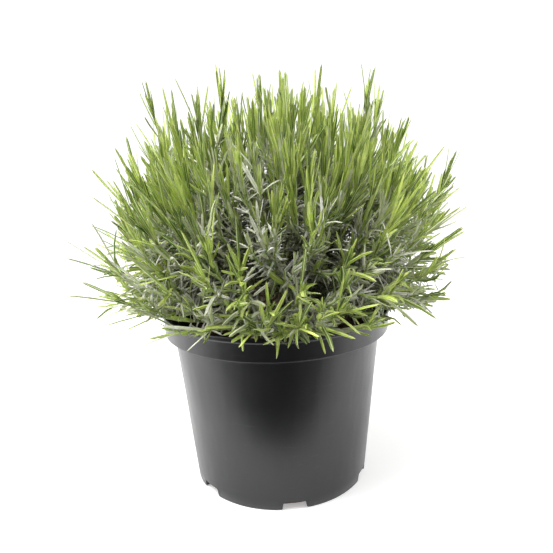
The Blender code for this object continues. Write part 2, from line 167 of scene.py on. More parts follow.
def settle(thing: bpy.types.Object, name: str, sharp: float = math.radians(35)) -> bpy.types.Object:
    """Names a finished piece, puts its place into its mesh and shades it.

    Args:
        thing: the finished piece.
        name: its name.
        sharp: edges that turn more than this stay crisp.

    Returns:
        The piece.
    """
    take(thing)
    bpy.ops.object.transform_apply(location=True, rotation=True, scale=True)
    thing.name = thing.data.name = name
    bpy.ops.object.shade_smooth_by_angle(angle=sharp)
    deselect_all()
    return thing


def dress(thing: bpy.types.Object, material: bpy.types.Material) -> None:
    """Gives a piece one material."""
    thing.data.materials.clear()
    thing.data.materials.append(material)


# ---------------------------------------------------------------- materials

def colour_of(red: int, green: int, blue: int) -> tuple[float, float, float, float]:
    """A linear colour from its display values of 0 to 255.

    Args:
        red: display red.
        green: display green.
        blue: display blue.

    Returns:
        Linear red, green and blue, and full alpha.
    """
    def linear(value: int) -> float:
        """One channel made linear."""
        share = value / 255
        return share / 12.92 if share <= 0.04045 else ((share + 0.055) / 1.055) ** 2.4

    return linear(red), linear(green), linear(blue), 1.0


class Wiring:
    """A node tree with short ways to add and join its nodes."""

    def __init__(self, tree: bpy.types.NodeTree) -> None:
        """Takes the tree to wire."""
        self.tree = tree

    def node(self, kind: str, **values: object) -> bpy.types.Node:
        """Adds a node.

        Args:
            kind: the node's type.
            **values: its properties.

        Returns:
            The node.
        """
        made = self.tree.nodes.new(kind)
        for name, value in values.items():
            setattr(made, name, value)
        return made

    def join(self, source: object, target: object) -> None:
        """Links one socket to another."""
        self.tree.links.new(source, target)

    def feed(self, target: object, value: object) -> None:
        """Links a socket to an input, or sets the input where the value is plain."""
        if isinstance(value, bpy.types.NodeSocket):
            self.join(value, target)
        else:
            target.default_value = value

    def maths(self, operation: str, *values: object, clamp: bool = False) -> object:
        """A maths node's result.

        Args:
            operation: what it does.
            *values: its inputs, as sockets or numbers.
            clamp: whether the result is held between 0 and 1.

        Returns:
            The output socket.
        """
        made = self.node("ShaderNodeMath", operation=operation, use_clamp=clamp)
        for socket, value in zip(made.inputs, values):
            self.feed(socket, value)
        return made.outputs[0]

    def ramp(self, value: object, low: float, high: float, to_low: float = 0.0,
             to_high: float = 1.0) -> object:
        """A value mapped smoothly from one range to another.

        Args:
            value: the socket to map.
            low: where the range starts.
            high: where it ends.
            to_low: the result at low.
            to_high: the result at high.

        Returns:
            The output socket.
        """
        made = self.node("ShaderNodeMapRange", interpolation_type="SMOOTHSTEP")
        for socket, number in zip(made.inputs[1:5], (low, high, to_low, to_high)):
            socket.default_value = number
        self.join(value, made.inputs[0])
        return made.outputs[0]

    def blend(self, share: object, first: object, second: object, kind: str = "MIX") -> object:
        """Two colours mixed.

        Args:
            share: how much of the second.
            first: the first colour.
            second: the second colour.
            kind: the blend type.

        Returns:
            The output socket.
        """
        made = self.node("ShaderNodeMix", data_type="RGBA", blend_type=kind)
        self.feed(made.inputs[0], share)
        self.feed(made.inputs[6], first)
        self.feed(made.inputs[7], second)
        return made.outputs[2]

    def cloud(self, place: object, scale: float, detail: float = 3.0) -> object:
        """A noise pattern's value.

        Args:
            place: coordinates to read it at.
            scale: its fineness, per metre.
            detail: how many finer layers it has.

        Returns:
            The output socket.
        """
        made = self.node("ShaderNodeTexNoise")
        made.inputs["Scale"].default_value = scale
        made.inputs["Detail"].default_value = detail
        self.join(place, made.inputs["Vector"])
        return made.outputs["Fac"]

    def place(self, stretch: tuple[float, float, float] = (1, 1, 1)) -> object:
        """Object coordinates, stretched.

        Args:
            stretch: scale along each axis.

        Returns:
            The output socket.
        """
        source = self.node("ShaderNodeTexCoord")
        mapping = self.node("ShaderNodeMapping")
        mapping.inputs["Scale"].default_value = stretch
        self.join(source.outputs["Object"], mapping.inputs["Vector"])
        return mapping.outputs["Vector"]

    def attribute(self, name: str) -> object:
        """A number that the piece carries at its points."""
        return self.node("ShaderNodeAttribute", attribute_name=name).outputs["Fac"]

    def bump(self, height: object, depth: float, normal: object = None) -> object:
        """A bump's normal.

        Args:
            height: the height pattern.
            depth: its distance in metres.
            normal: a normal to build on.

        Returns:
            The output socket.
        """
        made = self.node("ShaderNodeBump")
        made.inputs["Distance"].default_value = depth
        self.join(height, made.inputs["Height"])
        if normal is not None:
            self.join(normal, made.inputs["Normal"])
        return made.outputs["Normal"]


def new_material(name: str) -> tuple[bpy.types.Material, Wiring, bpy.types.Node]:
    """A material with its shader, ready to wire.

    Args:
        name: the material's name.

    Returns:
        The material, its wiring and its Principled shader.
    """
    material = bpy.data.materials.new(name)
    material.use_nodes = True
    return material, Wiring(material.node_tree), material.node_tree.nodes["Principled BSDF"]


def mottle_group() -> bpy.types.NodeTree:
    """A shared effect: a colour made patchy towards another by two layers of noise.

    Returns:
        The node group, with inputs Place, Colour, Patch, Scale and Amount and output Colour.
    """
    known = bpy.data.node_groups.get("mottle")
    if known:
        return known
    tree = bpy.data.node_groups.new("mottle", "ShaderNodeTree")
    for name, kind in (("Place", "NodeSocketVector"), ("Colour", "NodeSocketColor"),
                       ("Patch", "NodeSocketColor"), ("Scale", "NodeSocketFloat"),
                       ("Amount", "NodeSocketFloat")):
        tree.interface.new_socket(name, in_out="INPUT", socket_type=kind)
    tree.interface.new_socket("Colour", in_out="OUTPUT", socket_type="NodeSocketColor")
    wiring = Wiring(tree)
    inside = wiring.node("NodeGroupInput")
    outside = wiring.node("NodeGroupOutput")
    coarse = wiring.node("ShaderNodeTexNoise")
    coarse.inputs["Detail"].default_value = 4
    wiring.join(inside.outputs["Place"], coarse.inputs["Vector"])
    wiring.join(inside.outputs["Scale"], coarse.inputs["Scale"])
    patches = wiring.ramp(coarse.outputs["Fac"], 0.35, 0.65)
    share = wiring.maths("MULTIPLY", patches, inside.outputs["Amount"])
    mixed = wiring.blend(share, inside.outputs["Colour"], inside.outputs["Patch"])
    wiring.join(mixed, outside.inputs["Colour"])
    return tree


def mottled(wiring: Wiring, place: object, colour: object, patch: object, scale: float,
            amount: float) -> object:
    """Places the mottle group in a material.

    Args:
        wiring: the material's wiring.
        place: coordinates.
        colour: the ground colour.
        patch: the colour of the patches.
        scale: fineness, per metre.
        amount: the patches' strength.

    Returns:
        The output socket.
    """
    made = wiring.node("ShaderNodeGroup", node_tree=mottle_group())
    for name, value in (("Place", place), ("Colour", colour), ("Patch", patch),
                        ("Scale", scale), ("Amount", amount)):
        wiring.feed(made.inputs[name], value)
    return made.outputs["Colour"]


@dataclass(frozen=True)
class PotPlastic:
    """Black moulded nursery plastic: semi-gloss, a little dusty, with handling scuffs."""

    black: tuple = colour_of(5, 5, 9)
    dust: tuple = colour_of(25, 25, 33)
    scuff: tuple = colour_of(84, 84, 88)
    shine: float = 0.55

    def make(self) -> bpy.types.Material:
        """Wires the material.

        Returns:
            The material.
        """
        material, wiring, shader = new_material("pot_plastic_skin")
        place = wiring.place()
        ground = mottled(wiring, place, self.black, self.dust, 22.0, 0.10)
        along = wiring.place((1, 1, 9))
        streaks = wiring.ramp(wiring.cloud(along, 60.0, 5.0), 0.60, 0.78)
        fine = wiring.ramp(wiring.cloud(wiring.place((1, 1, 26)), 210.0, 2.0), 0.66, 0.76)
        marks = wiring.maths("MAXIMUM", wiring.maths("MULTIPLY", streaks, 0.12),
                             wiring.maths("MULTIPLY", fine, 0.16))
        wiring.join(wiring.blend(marks, ground, self.scuff), shader.inputs["Base Color"])
        rough = wiring.ramp(wiring.cloud(place, 35.0, 1.0), 0.2, 0.8, 0.29, 0.34)
        wiring.join(wiring.maths("ADD", rough, wiring.maths("MULTIPLY", marks, 0.25)),
                    shader.inputs["Roughness"])
        shader.inputs["Specular IOR Level"].default_value = self.shine
        grain = wiring.cloud(place, 1700.0, 2.0)
        waves = wiring.cloud(wiring.place((1, 1, 0.25)), 45.0, 2.0)
        normal = wiring.bump(waves, 0.0006)
        wiring.join(wiring.bump(grain, 0.00006, normal), shader.inputs["Normal"])
        return material


@dataclass(frozen=True)
class PottingMix:
    """Damp dark potting mix: peat, fine bark and pale fibres."""

    peat: tuple = colour_of(38, 28, 20)
    bark: tuple = colour_of(84, 60, 40)
    fibre: tuple = colour_of(150, 124, 90)

    def make(self) -> bpy.types.Material:
        """Wires the material.

        Returns:
            The material.
        """
        material, wiring, shader = new_material("potting_mix")
        place = wiring.place()
        ground = mottled(wiring, place, self.peat, self.bark, 260.0, 0.8)
        fibres = wiring.ramp(wiring.cloud(wiring.place((1, 5, 2)), 420.0, 2.0), 0.68, 0.74)
        wiring.join(wiring.blend(fibres, ground, self.fibre), shader.inputs["Base Color"])
        shader.inputs["Roughness"].default_value = 0.95
        wiring.join(wiring.bump(wiring.cloud(place, 520.0, 5.0), 0.0012),
                    shader.inputs["Normal"])
        return material


@dataclass(frozen=True)
class OldBark:
    """Grey-brown bark that peels in strips along the wood."""

    brown: tuple = colour_of(104, 78, 56)
    grey: tuple = colour_of(150, 136, 118)

    def make(self) -> bpy.types.Material:
        """Wires the material.

        Returns:
            The material.
        """
        material, wiring, shader = new_material("old_bark_skin")
        place = wiring.place((1, 1, 0.35))
        wiring.join(mottled(wiring, place, self.brown, self.grey, 320.0, 0.8),
                    shader.inputs["Base Color"])
        shader.inputs["Roughness"].default_value = 0.9
        wiring.join(wiring.bump(wiring.cloud(place, 700.0, 4.0), 0.0007),
                    shader.inputs["Normal"])
        return material


@dataclass(frozen=True)
class StemSkin:
    """Stems: woody brown low down, then grey-green, and fresh green at the tips."""

    wood: tuple = colour_of(112, 88, 62)
    grey_green: tuple = colour_of(128, 138, 92)
    fresh: tuple = colour_of(142, 170, 74)
    lichen: tuple = colour_of(190, 182, 160)

    def make(self) -> bpy.types.Material:
        """Wires the material.

        Returns:
            The material.
        """
        material, wiring, shader = new_material("stem_skin")
        age = wiring.attribute("age")
        young = wiring.blend(wiring.ramp(age, 0.05, 0.45), self.fresh, self.grey_green)
        colour = wiring.blend(wiring.ramp(age, 0.55, 0.85), young, self.wood)
        place = wiring.place()
        pale = wiring.blend(0.45, colour, self.lichen)
        wiring.join(mottled(wiring, place, colour, pale, 300.0, 0.7),
                    shader.inputs["Base Color"])
        shader.inputs["Roughness"].default_value = 0.7
        wiring.join(wiring.bump(wiring.cloud(place, 1500.0, 3.0), 0.0002),
                    shader.inputs["Normal"])
        return material


@dataclass(frozen=True)
class LeafSkin:
    """Lavender leaf: fresh yellow-green when young, felted silver-grey when old."""

    deep: tuple = colour_of(68, 102, 14)
    fresh: tuple = colour_of(206, 228, 104)
    pale: tuple = colour_of(236, 240, 178)
    silver: tuple = colour_of(252, 252, 248)
    felt: tuple = colour_of(184, 188, 158)
    # dark brown: the colour of dead leaves, and painted shade for leaves deep in the head and low on
    # the skirt
    shade_and_dead: tuple = colour_of(44, 40, 26)

    def make(self) -> bpy.types.Material:
        """Wires the material.

        Returns:
            The material.
        """
        material, wiring, shader = new_material("leaf_skin")
        place = wiring.place()
        age, tone = wiring.attribute("age"), wiring.attribute("tone")
        across_along = wiring.node("ShaderNodeSeparateXYZ")
        wiring.join(wiring.node("ShaderNodeUVMap", uv_map="blade").outputs["UV"],
                    across_along.inputs["Vector"])
        across, along = across_along.outputs["X"], across_along.outputs["Y"]
        off_rib = wiring.maths("ABSOLUTE", wiring.maths("SUBTRACT", across, 0.5))
        # the paler midrib is partly the leaf's own and partly a painted highlight; the pale margins
        # are a painted highlight along the edges
        rib = wiring.ramp(off_rib, 0.03, 0.17, 1.0, 0.0)
        margin_highlight = wiring.ramp(off_rib, 0.40, 0.5)

        green = wiring.blend(wiring.ramp(tone, 0.12, 0.88), self.deep, self.fresh)
        green = mottled(wiring, place, green, self.deep, 140.0, 0.35)
        foot = wiring.ramp(along, 0.0, 0.35, 0.45, 0.0)
        green = wiring.blend(foot, green, self.pale)
        green = wiring.blend(wiring.maths("MULTIPLY", rib, 0.80), green, self.pale)
        green = wiring.blend(wiring.maths("MULTIPLY", margin_highlight, 0.35), green, self.pale)

        grey = wiring.blend(tone, self.felt, self.silver)
        grey = mottled(wiring, place, grey, self.felt, 220.0, 0.5)
        grey = wiring.blend(wiring.maths("MULTIPLY", rib, 0.35), grey, self.felt)
        grown_old = wiring.maths("ADD", age, wiring.maths(
            "MULTIPLY", wiring.maths("SUBTRACT", wiring.cloud(place, 90.0), 0.5), 0.3))
        colour = wiring.blend(wiring.ramp(grown_old, 0.25, 0.70), green, grey)
        # painted shade: the deep attribute darkens leaves deep in the head and on the skirt towards
        # dark brown, and dead leaves too
        colour = wiring.blend(wiring.attribute("deep"), colour, self.shade_and_dead)
        wiring.join(colour, shader.inputs["Base Color"])

        rough = wiring.ramp(age, 0.2, 0.8, 0.46, 0.85)
        wiring.join(rough, shader.inputs["Roughness"])
        shader.inputs["Subsurface Weight"].default_value = 0.18
        shader.inputs["Subsurface Radius"].default_value = (0.7, 1.0, 0.25)
        shader.inputs["Subsurface Scale"].default_value = 0.0012
        down = wiring.cloud(place, 2600.0, 2.0)
        normal = wiring.bump(rib, 0.00025)
        wiring.join(wiring.bump(down, 0.00008, normal), shader.inputs["Normal"])
        return material


@dataclass(frozen=True)
class FloorPaper:
    """Pale studio paper on a light table."""

    white: tuple = (0.90, 0.90, 0.90, 1)
    shade: tuple = (0.88, 0.88, 0.88, 1)
    glow: float = 0.36

    def make(self) -> bpy.types.Material:
        """Wires the material.

        Returns:
            The material.
        """
        material, wiring, shader = new_material("studio_paper")
        wiring.join(mottled(wiring, wiring.place(), self.white, self.shade, 3.0, 0.4),
                    shader.inputs["Base Color"])
        shader.inputs["Roughness"].default_value = 0.9
        shader.inputs["Emission Color"].default_value = (1, 1, 1, 1)
        shader.inputs["Emission Strength"].default_value = self.glow
        return material


# ---------------------------------------------------------------- the plant's form and growth

GOLDEN_ANGLE = math.pi * (3 - math.sqrt(5))
FOOT_LEAN = 0.86                # a branch's first direction, as a share of its lean
LOWEST_FOOT = math.radians(84)
STAND_RADIUS = 0.0022           # how wide a branch's foot stands on the crown
STAND_POINTS = 6
OUTSIDE_CROWN = 0.06            # where a ray to the crown starts, from its centre
FOOT_RUN = 0.010                # how far a branch runs straight from its foot
FORK_SINK = 0.001               # how far a forked shoot starts inside its branch
FORK_GIRTH = 0.85               # a forked shoot's girth, as a share of its branch's
HALF_BAND = 0.0009              # half the height of the band that carries a leaf pair
LIFT = 0.003                    # step by which a branch is raised over the rim
LIFTS = 20
PLANS = 30                      # how many plans a branch may try
LEAF_PLANS = 8
STEM_CLEARANCE = 0.0008         # between the stems of two branches
FORK_CLEARANCE = 0.002          # between the shoots of one branch
LEAF_CLEARANCE = 0.0004         # from other branches
OWN_CLEARANCE = 0.0003          # from the branch's other shoots and leaves
OUTER_CLEARANCE = 0.0005        # of a blade's outer part from all of its branch
POT_CLEARANCE = 0.0015
CURVE_POT_CLEARANCE = 0.0025
SHARPEST_TURN = 0.8
SHORTEST_STEP = 0.0012


@dataclass(frozen=True)
class Habit:
    """How one kind of branch grows.

    nodes holds the leaf pairs as place along the shoot, spread in degrees and length; girth is
    the radius at the foot, at the fork and at the end.
    """

    name: str
    shoots: int
    reach: tuple[float, float]
    fork: float
    nodes: tuple[tuple[float, float, float], ...]
    width: float
    girth: tuple[float, float, float]
    tip_leaf: float
    droop: float
    slot: str


GREEN = Habit("green_branch", 3, (0.90, 1.03), 0.50, ((0.50, 38, 0.036), (0.97, 15, 0.042)),
              0.0034, (0.0018, 0.0014, 0.0010), 0.038, 0.10, "young_green")
SILVER = Habit("silver_branch", 2, (0.66, 0.88), 0.52, ((0.45, 60, 0.022), (0.96, 34, 0.026)),
               0.0042, (0.0017, 0.0013, 0.0010), 0.020, 0.22, "old_silver")


@dataclass(frozen=True)
class PlantForm:
    """Driving sizes of the plant in its pot: the head's leaf tips lie about an ellipsoid.

    patches holds the middle and radius of each bare, silvery place; skirt holds how low leaves hang
    at turns about the pot, in degrees.
    """

    gap: float = 0.0003
    pot_height: float = 0.148
    rim_radius: float = 0.095
    neck_radius: float = 0.0862
    soil_top: float = 0.1265
    soil_rough: float = 0.0016
    crown_centre: float = 0.1315
    centre: float = 0.190
    head_reach: float = 0.156
    head_rise: float = 0.147
    spread: float = 1.20
    branches: int = 50
    silver_each: int = 4
    fork_offset: float = 0.021
    lowest_lean: float = 1.78
    lowest_growth: float = 0.118
    low_lean: float = 1.15
    low_span: float = 0.4
    shoulder_rise: float = 0.03
    shoulder_in: float = 0.028
    low_reach: float = 0.162
    shift: float = 0.007
    patch_strength: float = 1.25
    seed: str = "lavender 21"
    patches: tuple[tuple[float, float, float, float], ...] = (
        (-0.025, -0.110, 0.228, 0.027), (-0.095, -0.070, 0.183, 0.038),
        (-0.055, -0.100, 0.166, 0.028),
        (0.107, -0.055, 0.190, 0.034), (0.060, 0.110, 0.200, 0.034))
    skirt: tuple[tuple[float, float], ...] = (
        (-180, 0.150), (-160, 0.153), (-130, 0.162), (-110, 0.153), (-90, 0.1465), (-75, 0.148),
        (-60, 0.152), (-35, 0.147), (-15, 0.138), (10, 0.145), (90, 0.141), (180, 0.147))

    def head_point(self, lean: float, turn: float, reach: float) -> Vector:
        """The point of the head at a lean and a turn, at a share of its reach."""
        out = self.head_reach * math.sin(lean) * reach
        return Vector((out * math.cos(turn), out * math.sin(turn),
                       self.centre + self.head_rise * math.cos(lean) * reach))

    def lean_of(self, spot: Vector) -> float:
        """The lean of the head's surface nearest to a point."""
        return min(math.atan2(spot.xy.length / self.head_reach,
                              (spot.z - self.centre) / self.head_rise), self.lowest_lean)

    def lowness(self, spot: Vector) -> float:
        """How low a shoot hangs that ends at a place: 0 if upright, 1 at the skirt."""
        return held((self.lean_of(spot) - self.low_lean) / self.low_span)

    def tilt_at(self, lean: float) -> float:
        """How far a shoot tilts from the vertical at a place of the head."""
        return lean * (0.30 + 0.45 * (lean / 1.77) ** 2.5)

    def shouldered(self, spot: Vector) -> Vector:
        """A place drawn in to the head's upright sides, unless it is among its low sprays.

        Args:
            spot: the place.

        Returns:
            The place drawn in.
        """
        side = held((spot.z - self.centre) / self.shoulder_rise)
        widest = self.low_reach - self.shoulder_in * side
        drawn = min(1.0, widest / max(spot.xy.length, 0.001))
        return Vector((spot.x * drawn + self.shift * side, spot.y * drawn, spot.z))

    def bareness(self, spot: Vector) -> float:
        """How bare and silvery the head is at a place: over 1 in a patch's middle, 0 outside."""
        return max(max(0.0, self.patch_strength - (spot - Vector(patch[:3])).length / patch[3])
                   for patch in self.patches)

    def skirt_at(self, spot: Vector) -> float:
        """How low the leaves hang at a place's turn about the pot."""
        turns, heights = zip(*self.skirt)
        return float(np.interp(math.degrees(math.atan2(spot.y, spot.x)), turns, heights))

    def above_pot(self, point: Vector, spare: float) -> bool:
        """Whether a point is clear of the soil and of the rim.

        Args:
            point: the point.
            spare: the clearance it needs.

        Returns:
            Whether it has that clearance.
        """
        out = point.xy.length
        if out < self.neck_radius:
            return point.z > self.soil_top + self.soil_rough + spare
        if out < self.rim_radius + spare:
            return point.z > self.pot_height + spare
        return point.z > self.lowest_growth

    def fit_above(self, line: list[Vector], spare: float) -> bool:
        """Whether a whole line is clear of the pot and the soil."""
        return all(self.above_pot(a.lerp(b, k / 6), spare)
                   for a, b in zip(line, line[1:]) for k in range(7))


def heading_of(lean: float, turn: float) -> Vector:
    """Unit vector leaning from the vertical towards a turn about Z."""
    return Vector((math.sin(lean) * math.cos(turn), math.sin(lean) * math.sin(turn),
                   math.cos(lean)))


def bezier(controls: tuple[Vector, ...], share: float) -> Vector:
    """A point of a cubic.

    Args:
        controls: its two ends and, between them, the two points that it bends towards.
        share: how far along it the point lies, 0 to 1.

    Returns:
        The point.
    """
    a, b, c, d = controls
    rest = 1 - share
    return a * rest ** 3 + b * 3 * rest ** 2 * share + c * 3 * rest * share ** 2 + d * share ** 3


@dataclass
class Blade:
    """One leaf: its line from the stem to the tip, which way it faces and how it looks.

    age runs from fresh to felted, tone from dark to light, deep from none to full darkening: painted
    shade deep in the head and on the skirt, and dead leaves.
    """

    root: Vector
    heading: Vector
    length: float
    bend: Vector
    face: Vector
    width: float
    age: float = 0.2
    tone: float = 0.5
    twist: float = 0.0
    deep: float = 0.0

    def at(self, share: float) -> Vector:
        """The point at a share of the blade's length."""
        return self.root + self.heading * self.length * share + self.bend * self.length * share ** 2


@dataclass
class Shoot:
    """A stem through rings along a line; leaf pairs stand on bands between two rings.

    course is the same stem as a smooth line, in many short steps.
    """

    line: list[Vector]
    radii: list[float]
    bands: list[tuple[int, int]]
    across: Vector
    stand: Vector
    course: list[Vector]
    leaves: dict[tuple[int, int], Blade] = field(default_factory=dict)

    def frames(self) -> list[tuple[Vector, Vector, Vector]]:
        """For each ring, the directions of two faces and of the stem, carried along the line."""
        turned_way = self.across
        frames = []
        starts = {ring for ring, _ in self.bands}
        for step in range(len(self.line)):
            before, after = max(step - 1, 0), min(step + 1, len(self.line) - 1)
            if step in starts:
                before = step
            elif step - 1 in starts:
                after = step
            way = (self.line[after] - self.line[before]).normalized() if step else self.stand
            turned_way = (turned_way - way * turned_way.dot(way)).normalized()
            frames.append((turned_way, way.cross(turned_way), way))
        return frames

    def look(self, ring: int, pair: int, half: int) -> Vector:
        """Where the stem's face under a leaf looks: each pair stands crosswise to the last.

        Args:
            ring: the ring that the pair stands on.
            pair: which pair.
            half: which leaf of the pair.

        Returns:
            The direction.
        """
        across, up, _ = self.frames()[ring]
        look = across if pair % 2 == 0 else up
        return look if half == 0 else -look


@dataclass
class Branch:
    """A branch: a first shoot that stands on the crown, and the shoots that fork from it."""

    habit: Habit
    index: int
    shoots: list[Shoot] = field(default_factory=list)

    @property
    def name(self) -> str:
        """The branch's node."""
        return f"{self.habit.name}_{self.index + 1:02d}"


class Space:
    """What is already grown, as round-ended rods, for finding clear places."""

    def __init__(self) -> None:
        """Starts empty: start, end, radius, branch and piece of each rod."""
        self.rods = np.zeros((0, 9))

    def add(self, line: list[Vector], radii: list[float], branch: int, piece: int) -> None:
        """Adds the rods of a line."""
        for a, b, thick in zip(line, line[1:], map(max, radii, radii[1:])):
            self.rods = np.vstack((self.rods, (*a, *b, thick, branch, piece)))

    def of_branch(self, branch: int) -> np.ndarray:
        """Which rods are the branch's own."""
        return self.rods[:, 7] == branch

    def room(self, line: list[Vector], radii: list[float], chosen: np.ndarray) -> float:
        """Least clearance between a line's rods and the chosen rods.

        Args:
            line: the points of the line.
            radii: its radius at each point.
            chosen: which of the known rods count.

        Returns:
            The clearance in metres.
        """
        rods = self.rods[chosen]
        if not len(rods):
            return 1.0
        starts, ways, thick = rods[:, :3], rods[:, 3:6] - rods[:, :3], rods[:, 6]
        least = 1.0
        for i in range(len(line) - 1):
            p, q = np.array(line[i]), np.array(line[i + 1])
            u, w = q - p, starts - p
            a, c = u @ u, (ways * ways).sum(1)
            b, d, e = ways @ u, w @ u, (w * ways).sum(1)
            s = np.clip((d * c - b * e) / np.maximum(a * c - b * b, 1e-18), 0, 1)
            t = np.clip((b * s - e) / c, 0, 1)
            s = np.clip((b * t + d) / a, 0, 1)
            gaps = np.linalg.norm(w + t[:, None] * ways - s[:, None] * u, axis=1) - thick
            least = min(least, gaps.min() - max(radii[i], radii[i + 1]))
        return least


@dataclass
class Growth:
    """Grows the branches of the solids again, by the same rule and the same draws."""

    form: PlantForm
    crown_tree: BVHTree
    branches: list[Branch] = field(default_factory=list)
    space: Space = field(default_factory=Space)

    def grow(self) -> list[Branch]:
        """Grows stems and then leaves.

        Returns:
            The branches.
        """
        self.grow_stems()
        self.grow_leaves()
        return self.branches

    def foot_of(self, foot_way: Vector, side: Vector) -> Vector:
        """Where a branch stands on the crown.

        Args:
            foot_way: the branch's first direction.
            side: a level direction across it.

        Returns:
            The foot, just clear of the crown.
        """
        centre = Vector((0, 0, self.form.crown_centre))
        up = foot_way.cross(side).normalized()
        reach = 0
        angles = [k * math.tau / STAND_POINTS for k in range(STAND_POINTS)]
        spots = [centre + (side * math.cos(angle) + up * math.sin(angle)) * STAND_RADIUS
                 for angle in angles]
        for spot in (*spots, centre):
            hit = self.crown_tree.ray_cast(spot + foot_way * OUTSIDE_CROWN, -foot_way)[0]
            reach = max(reach, (hit - centre).dot(foot_way))
        return centre + foot_way * (reach + self.form.gap)

    def plan_branch(self, index: int, attempt: int) -> Branch:
        """One branch's stems, by its place on the spiral and its own random draws.

        Args:
            index: the branch's number.
            attempt: how many plans came before this one.

        Returns:
            The branch, with its stems and no leaves.
        """
        form = self.form
        draw = random.Random(f"{form.seed} branch {index} {attempt}")
        habit = SILVER if index % form.silver_each == form.silver_each - 1 else GREEN
        lean = math.acos(1 - (index + 0.5) / form.branches * form.spread)
        turn = index * GOLDEN_ANGLE + draw.uniform(-0.12, 0.12)
        side = Vector((-math.sin(turn), math.cos(turn), 0))
        foot_way = heading_of(min(lean * FOOT_LEAN, LOWEST_FOOT), index * GOLDEN_ANGLE)
        foot = self.foot_of(foot_way, side)
        aim = form.head_point(lean, turn, draw.uniform(*habit.reach))
        end_way = heading_of(form.tilt_at(lean) + draw.uniform(-0.06, 0.06), turn)
        end = aim - end_way * habit.tip_leaf
        span = (end - foot).length
        for lift in range(LIFTS):
            controls = (foot, foot + foot_way * FOOT_RUN,
                        end - end_way * span * 0.36 + Vector((0, 0, LIFT * lift)), end)
            if form.fit_above([bezier(controls, k / 12) for k in range(1, 13)], CURVE_POT_CLEARANCE):
                break
        branch = Branch(habit, index)
        self.plan_shoots(branch, draw, controls, (foot_way, end_way, side), aim)
        return branch

    def plan_shoots(self, branch: Branch, draw: random.Random, controls: tuple[Vector, ...],
                    ways: tuple[Vector, Vector, Vector], aim: Vector) -> None:
        """Forks a branch into its shoots.

        Args:
            branch: the branch that gets them.
            draw: its random draws.
            controls: the curve of its first stem.
            ways: directions of its foot, of its end and across it.
            aim: the middle of its tips.
        """
        form, habit = self.form, branch.habit
        foot_way, end_way, side = ways
        main = [bezier(controls, habit.fork * k / 3) for k in range(4)]
        ahead = (bezier(controls, habit.fork + 0.02)
                 - bezier(controls, habit.fork - 0.02)).normalized()
        foot_girth, fork_girth, end_girth = habit.girth
        spin = draw.uniform(0, math.tau)
        up = side.cross(end_way).normalized()
        for place in range(habit.shoots):
            angle = spin + place * math.tau / habit.shoots + draw.uniform(-0.3, 0.3)
            offset = form.fork_offset * draw.uniform(0.7, 1.0)
            spot = aim + (side * math.cos(angle) + up * math.sin(angle)) * offset
            shoot_lean = form.lean_of(spot)
            shoot_turn = math.atan2(spot.y, spot.x)
            spot = form.head_point(shoot_lean, shoot_turn, draw.uniform(*habit.reach))
            way = heading_of(form.tilt_at(shoot_lean) + draw.uniform(-0.12, 0.12),
                             shoot_turn + draw.uniform(-0.15, 0.15))
            tip = spot - way * habit.tip_leaf
            root = main[-1] - (ahead * FORK_SINK if place else Vector())
            length = (tip - root).length
            bend = (root, root + ahead * length * 0.3, tip - way * length * 0.35, tip)
            shares, bands = [0.0], []
            for pair, (where, _, _) in enumerate(habit.nodes):
                half_band = HALF_BAND / length
                where = min(where + draw.uniform(-0.05, 0.05), 1 - half_band)
                bands.append((len(shares), pair))
                shares += [where - half_band, where + half_band]
            line = [bezier(bend, share) for share in shares]
            radii = [end_girth + (fork_girth * FORK_GIRTH - end_girth) * (1 - s) for s in shares]
            course = [bezier(bend, k / 9) for k in range(10)]
            if place == 0:
                line = main + line[1:]
                radii = [foot_girth, fork_girth * 1.15, fork_girth * 1.05, fork_girth] + radii[1:]
                bands = [(ring + 3, pair) for ring, pair in bands]
                course = [bezier(controls, habit.fork * k / 8) for k in range(8)] + course
            roll = draw.uniform(0, math.pi / 2)
            stand = ahead if place else foot_way
            flat = (side - stand * side.dot(stand)).normalized()
            across = flat * math.cos(roll) + stand.cross(flat) * math.sin(roll)
            branch.shoots.append(Shoot(line, radii, bands, across, stand, course))

    @staticmethod
    def bends_gently(line: list[Vector]) -> bool:
        """Whether a line has no sharp turn and no very short step."""
        steps = [b - a for a, b in zip(line, line[1:])]
        return (min(step.length for step in steps) > SHORTEST_STEP
                and all(a.angle(b) < SHARPEST_TURN for a, b in zip(steps, steps[1:])))

    def grow_stems(self) -> None:
        """Grows all branches' stems, each clear of those before it."""
        for index in range(self.form.branches):
            best = None
            for attempt in range(PLANS):
                branch = self.plan_branch(index, attempt)
                good = self.clear_shoots(branch)
                if good and (best is None or len(good) > len(best.shoots)):
                    best = branch
                    best.shoots = good
                if len(good) == branch.habit.shoots:
                    break
            if best is None:
                continue
            for place, shoot in enumerate(best.shoots):
                self.space.add(shoot.line, shoot.radii, index, place)
            self.branches.append(best)

    def clear_shoots(self, branch: Branch) -> list[Shoot]:
        """The shoots of a plan that are clear of everything grown so far.

        Args:
            branch: the planned branch.

        Returns:
            Those shoots, or none where the first one is in the way.
        """
        own, good = Space(), []
        for place, shoot in enumerate(branch.shoots):
            free = shoot.line[-4:]
            others = ~self.space.of_branch(branch.index)
            if (self.form.fit_above(shoot.line[1:], POT_CLEARANCE)
                    and self.bends_gently(shoot.line)
                    and self.space.room(shoot.line, shoot.radii, others) > STEM_CLEARANCE
                    and own.room(free, shoot.radii[-4:], own.rods[:, 8] >= 0) > FORK_CLEARANCE):
                good.append(shoot)
                own.add(free, shoot.radii[-4:], branch.index, place)
            elif place == 0:
                break
        return good

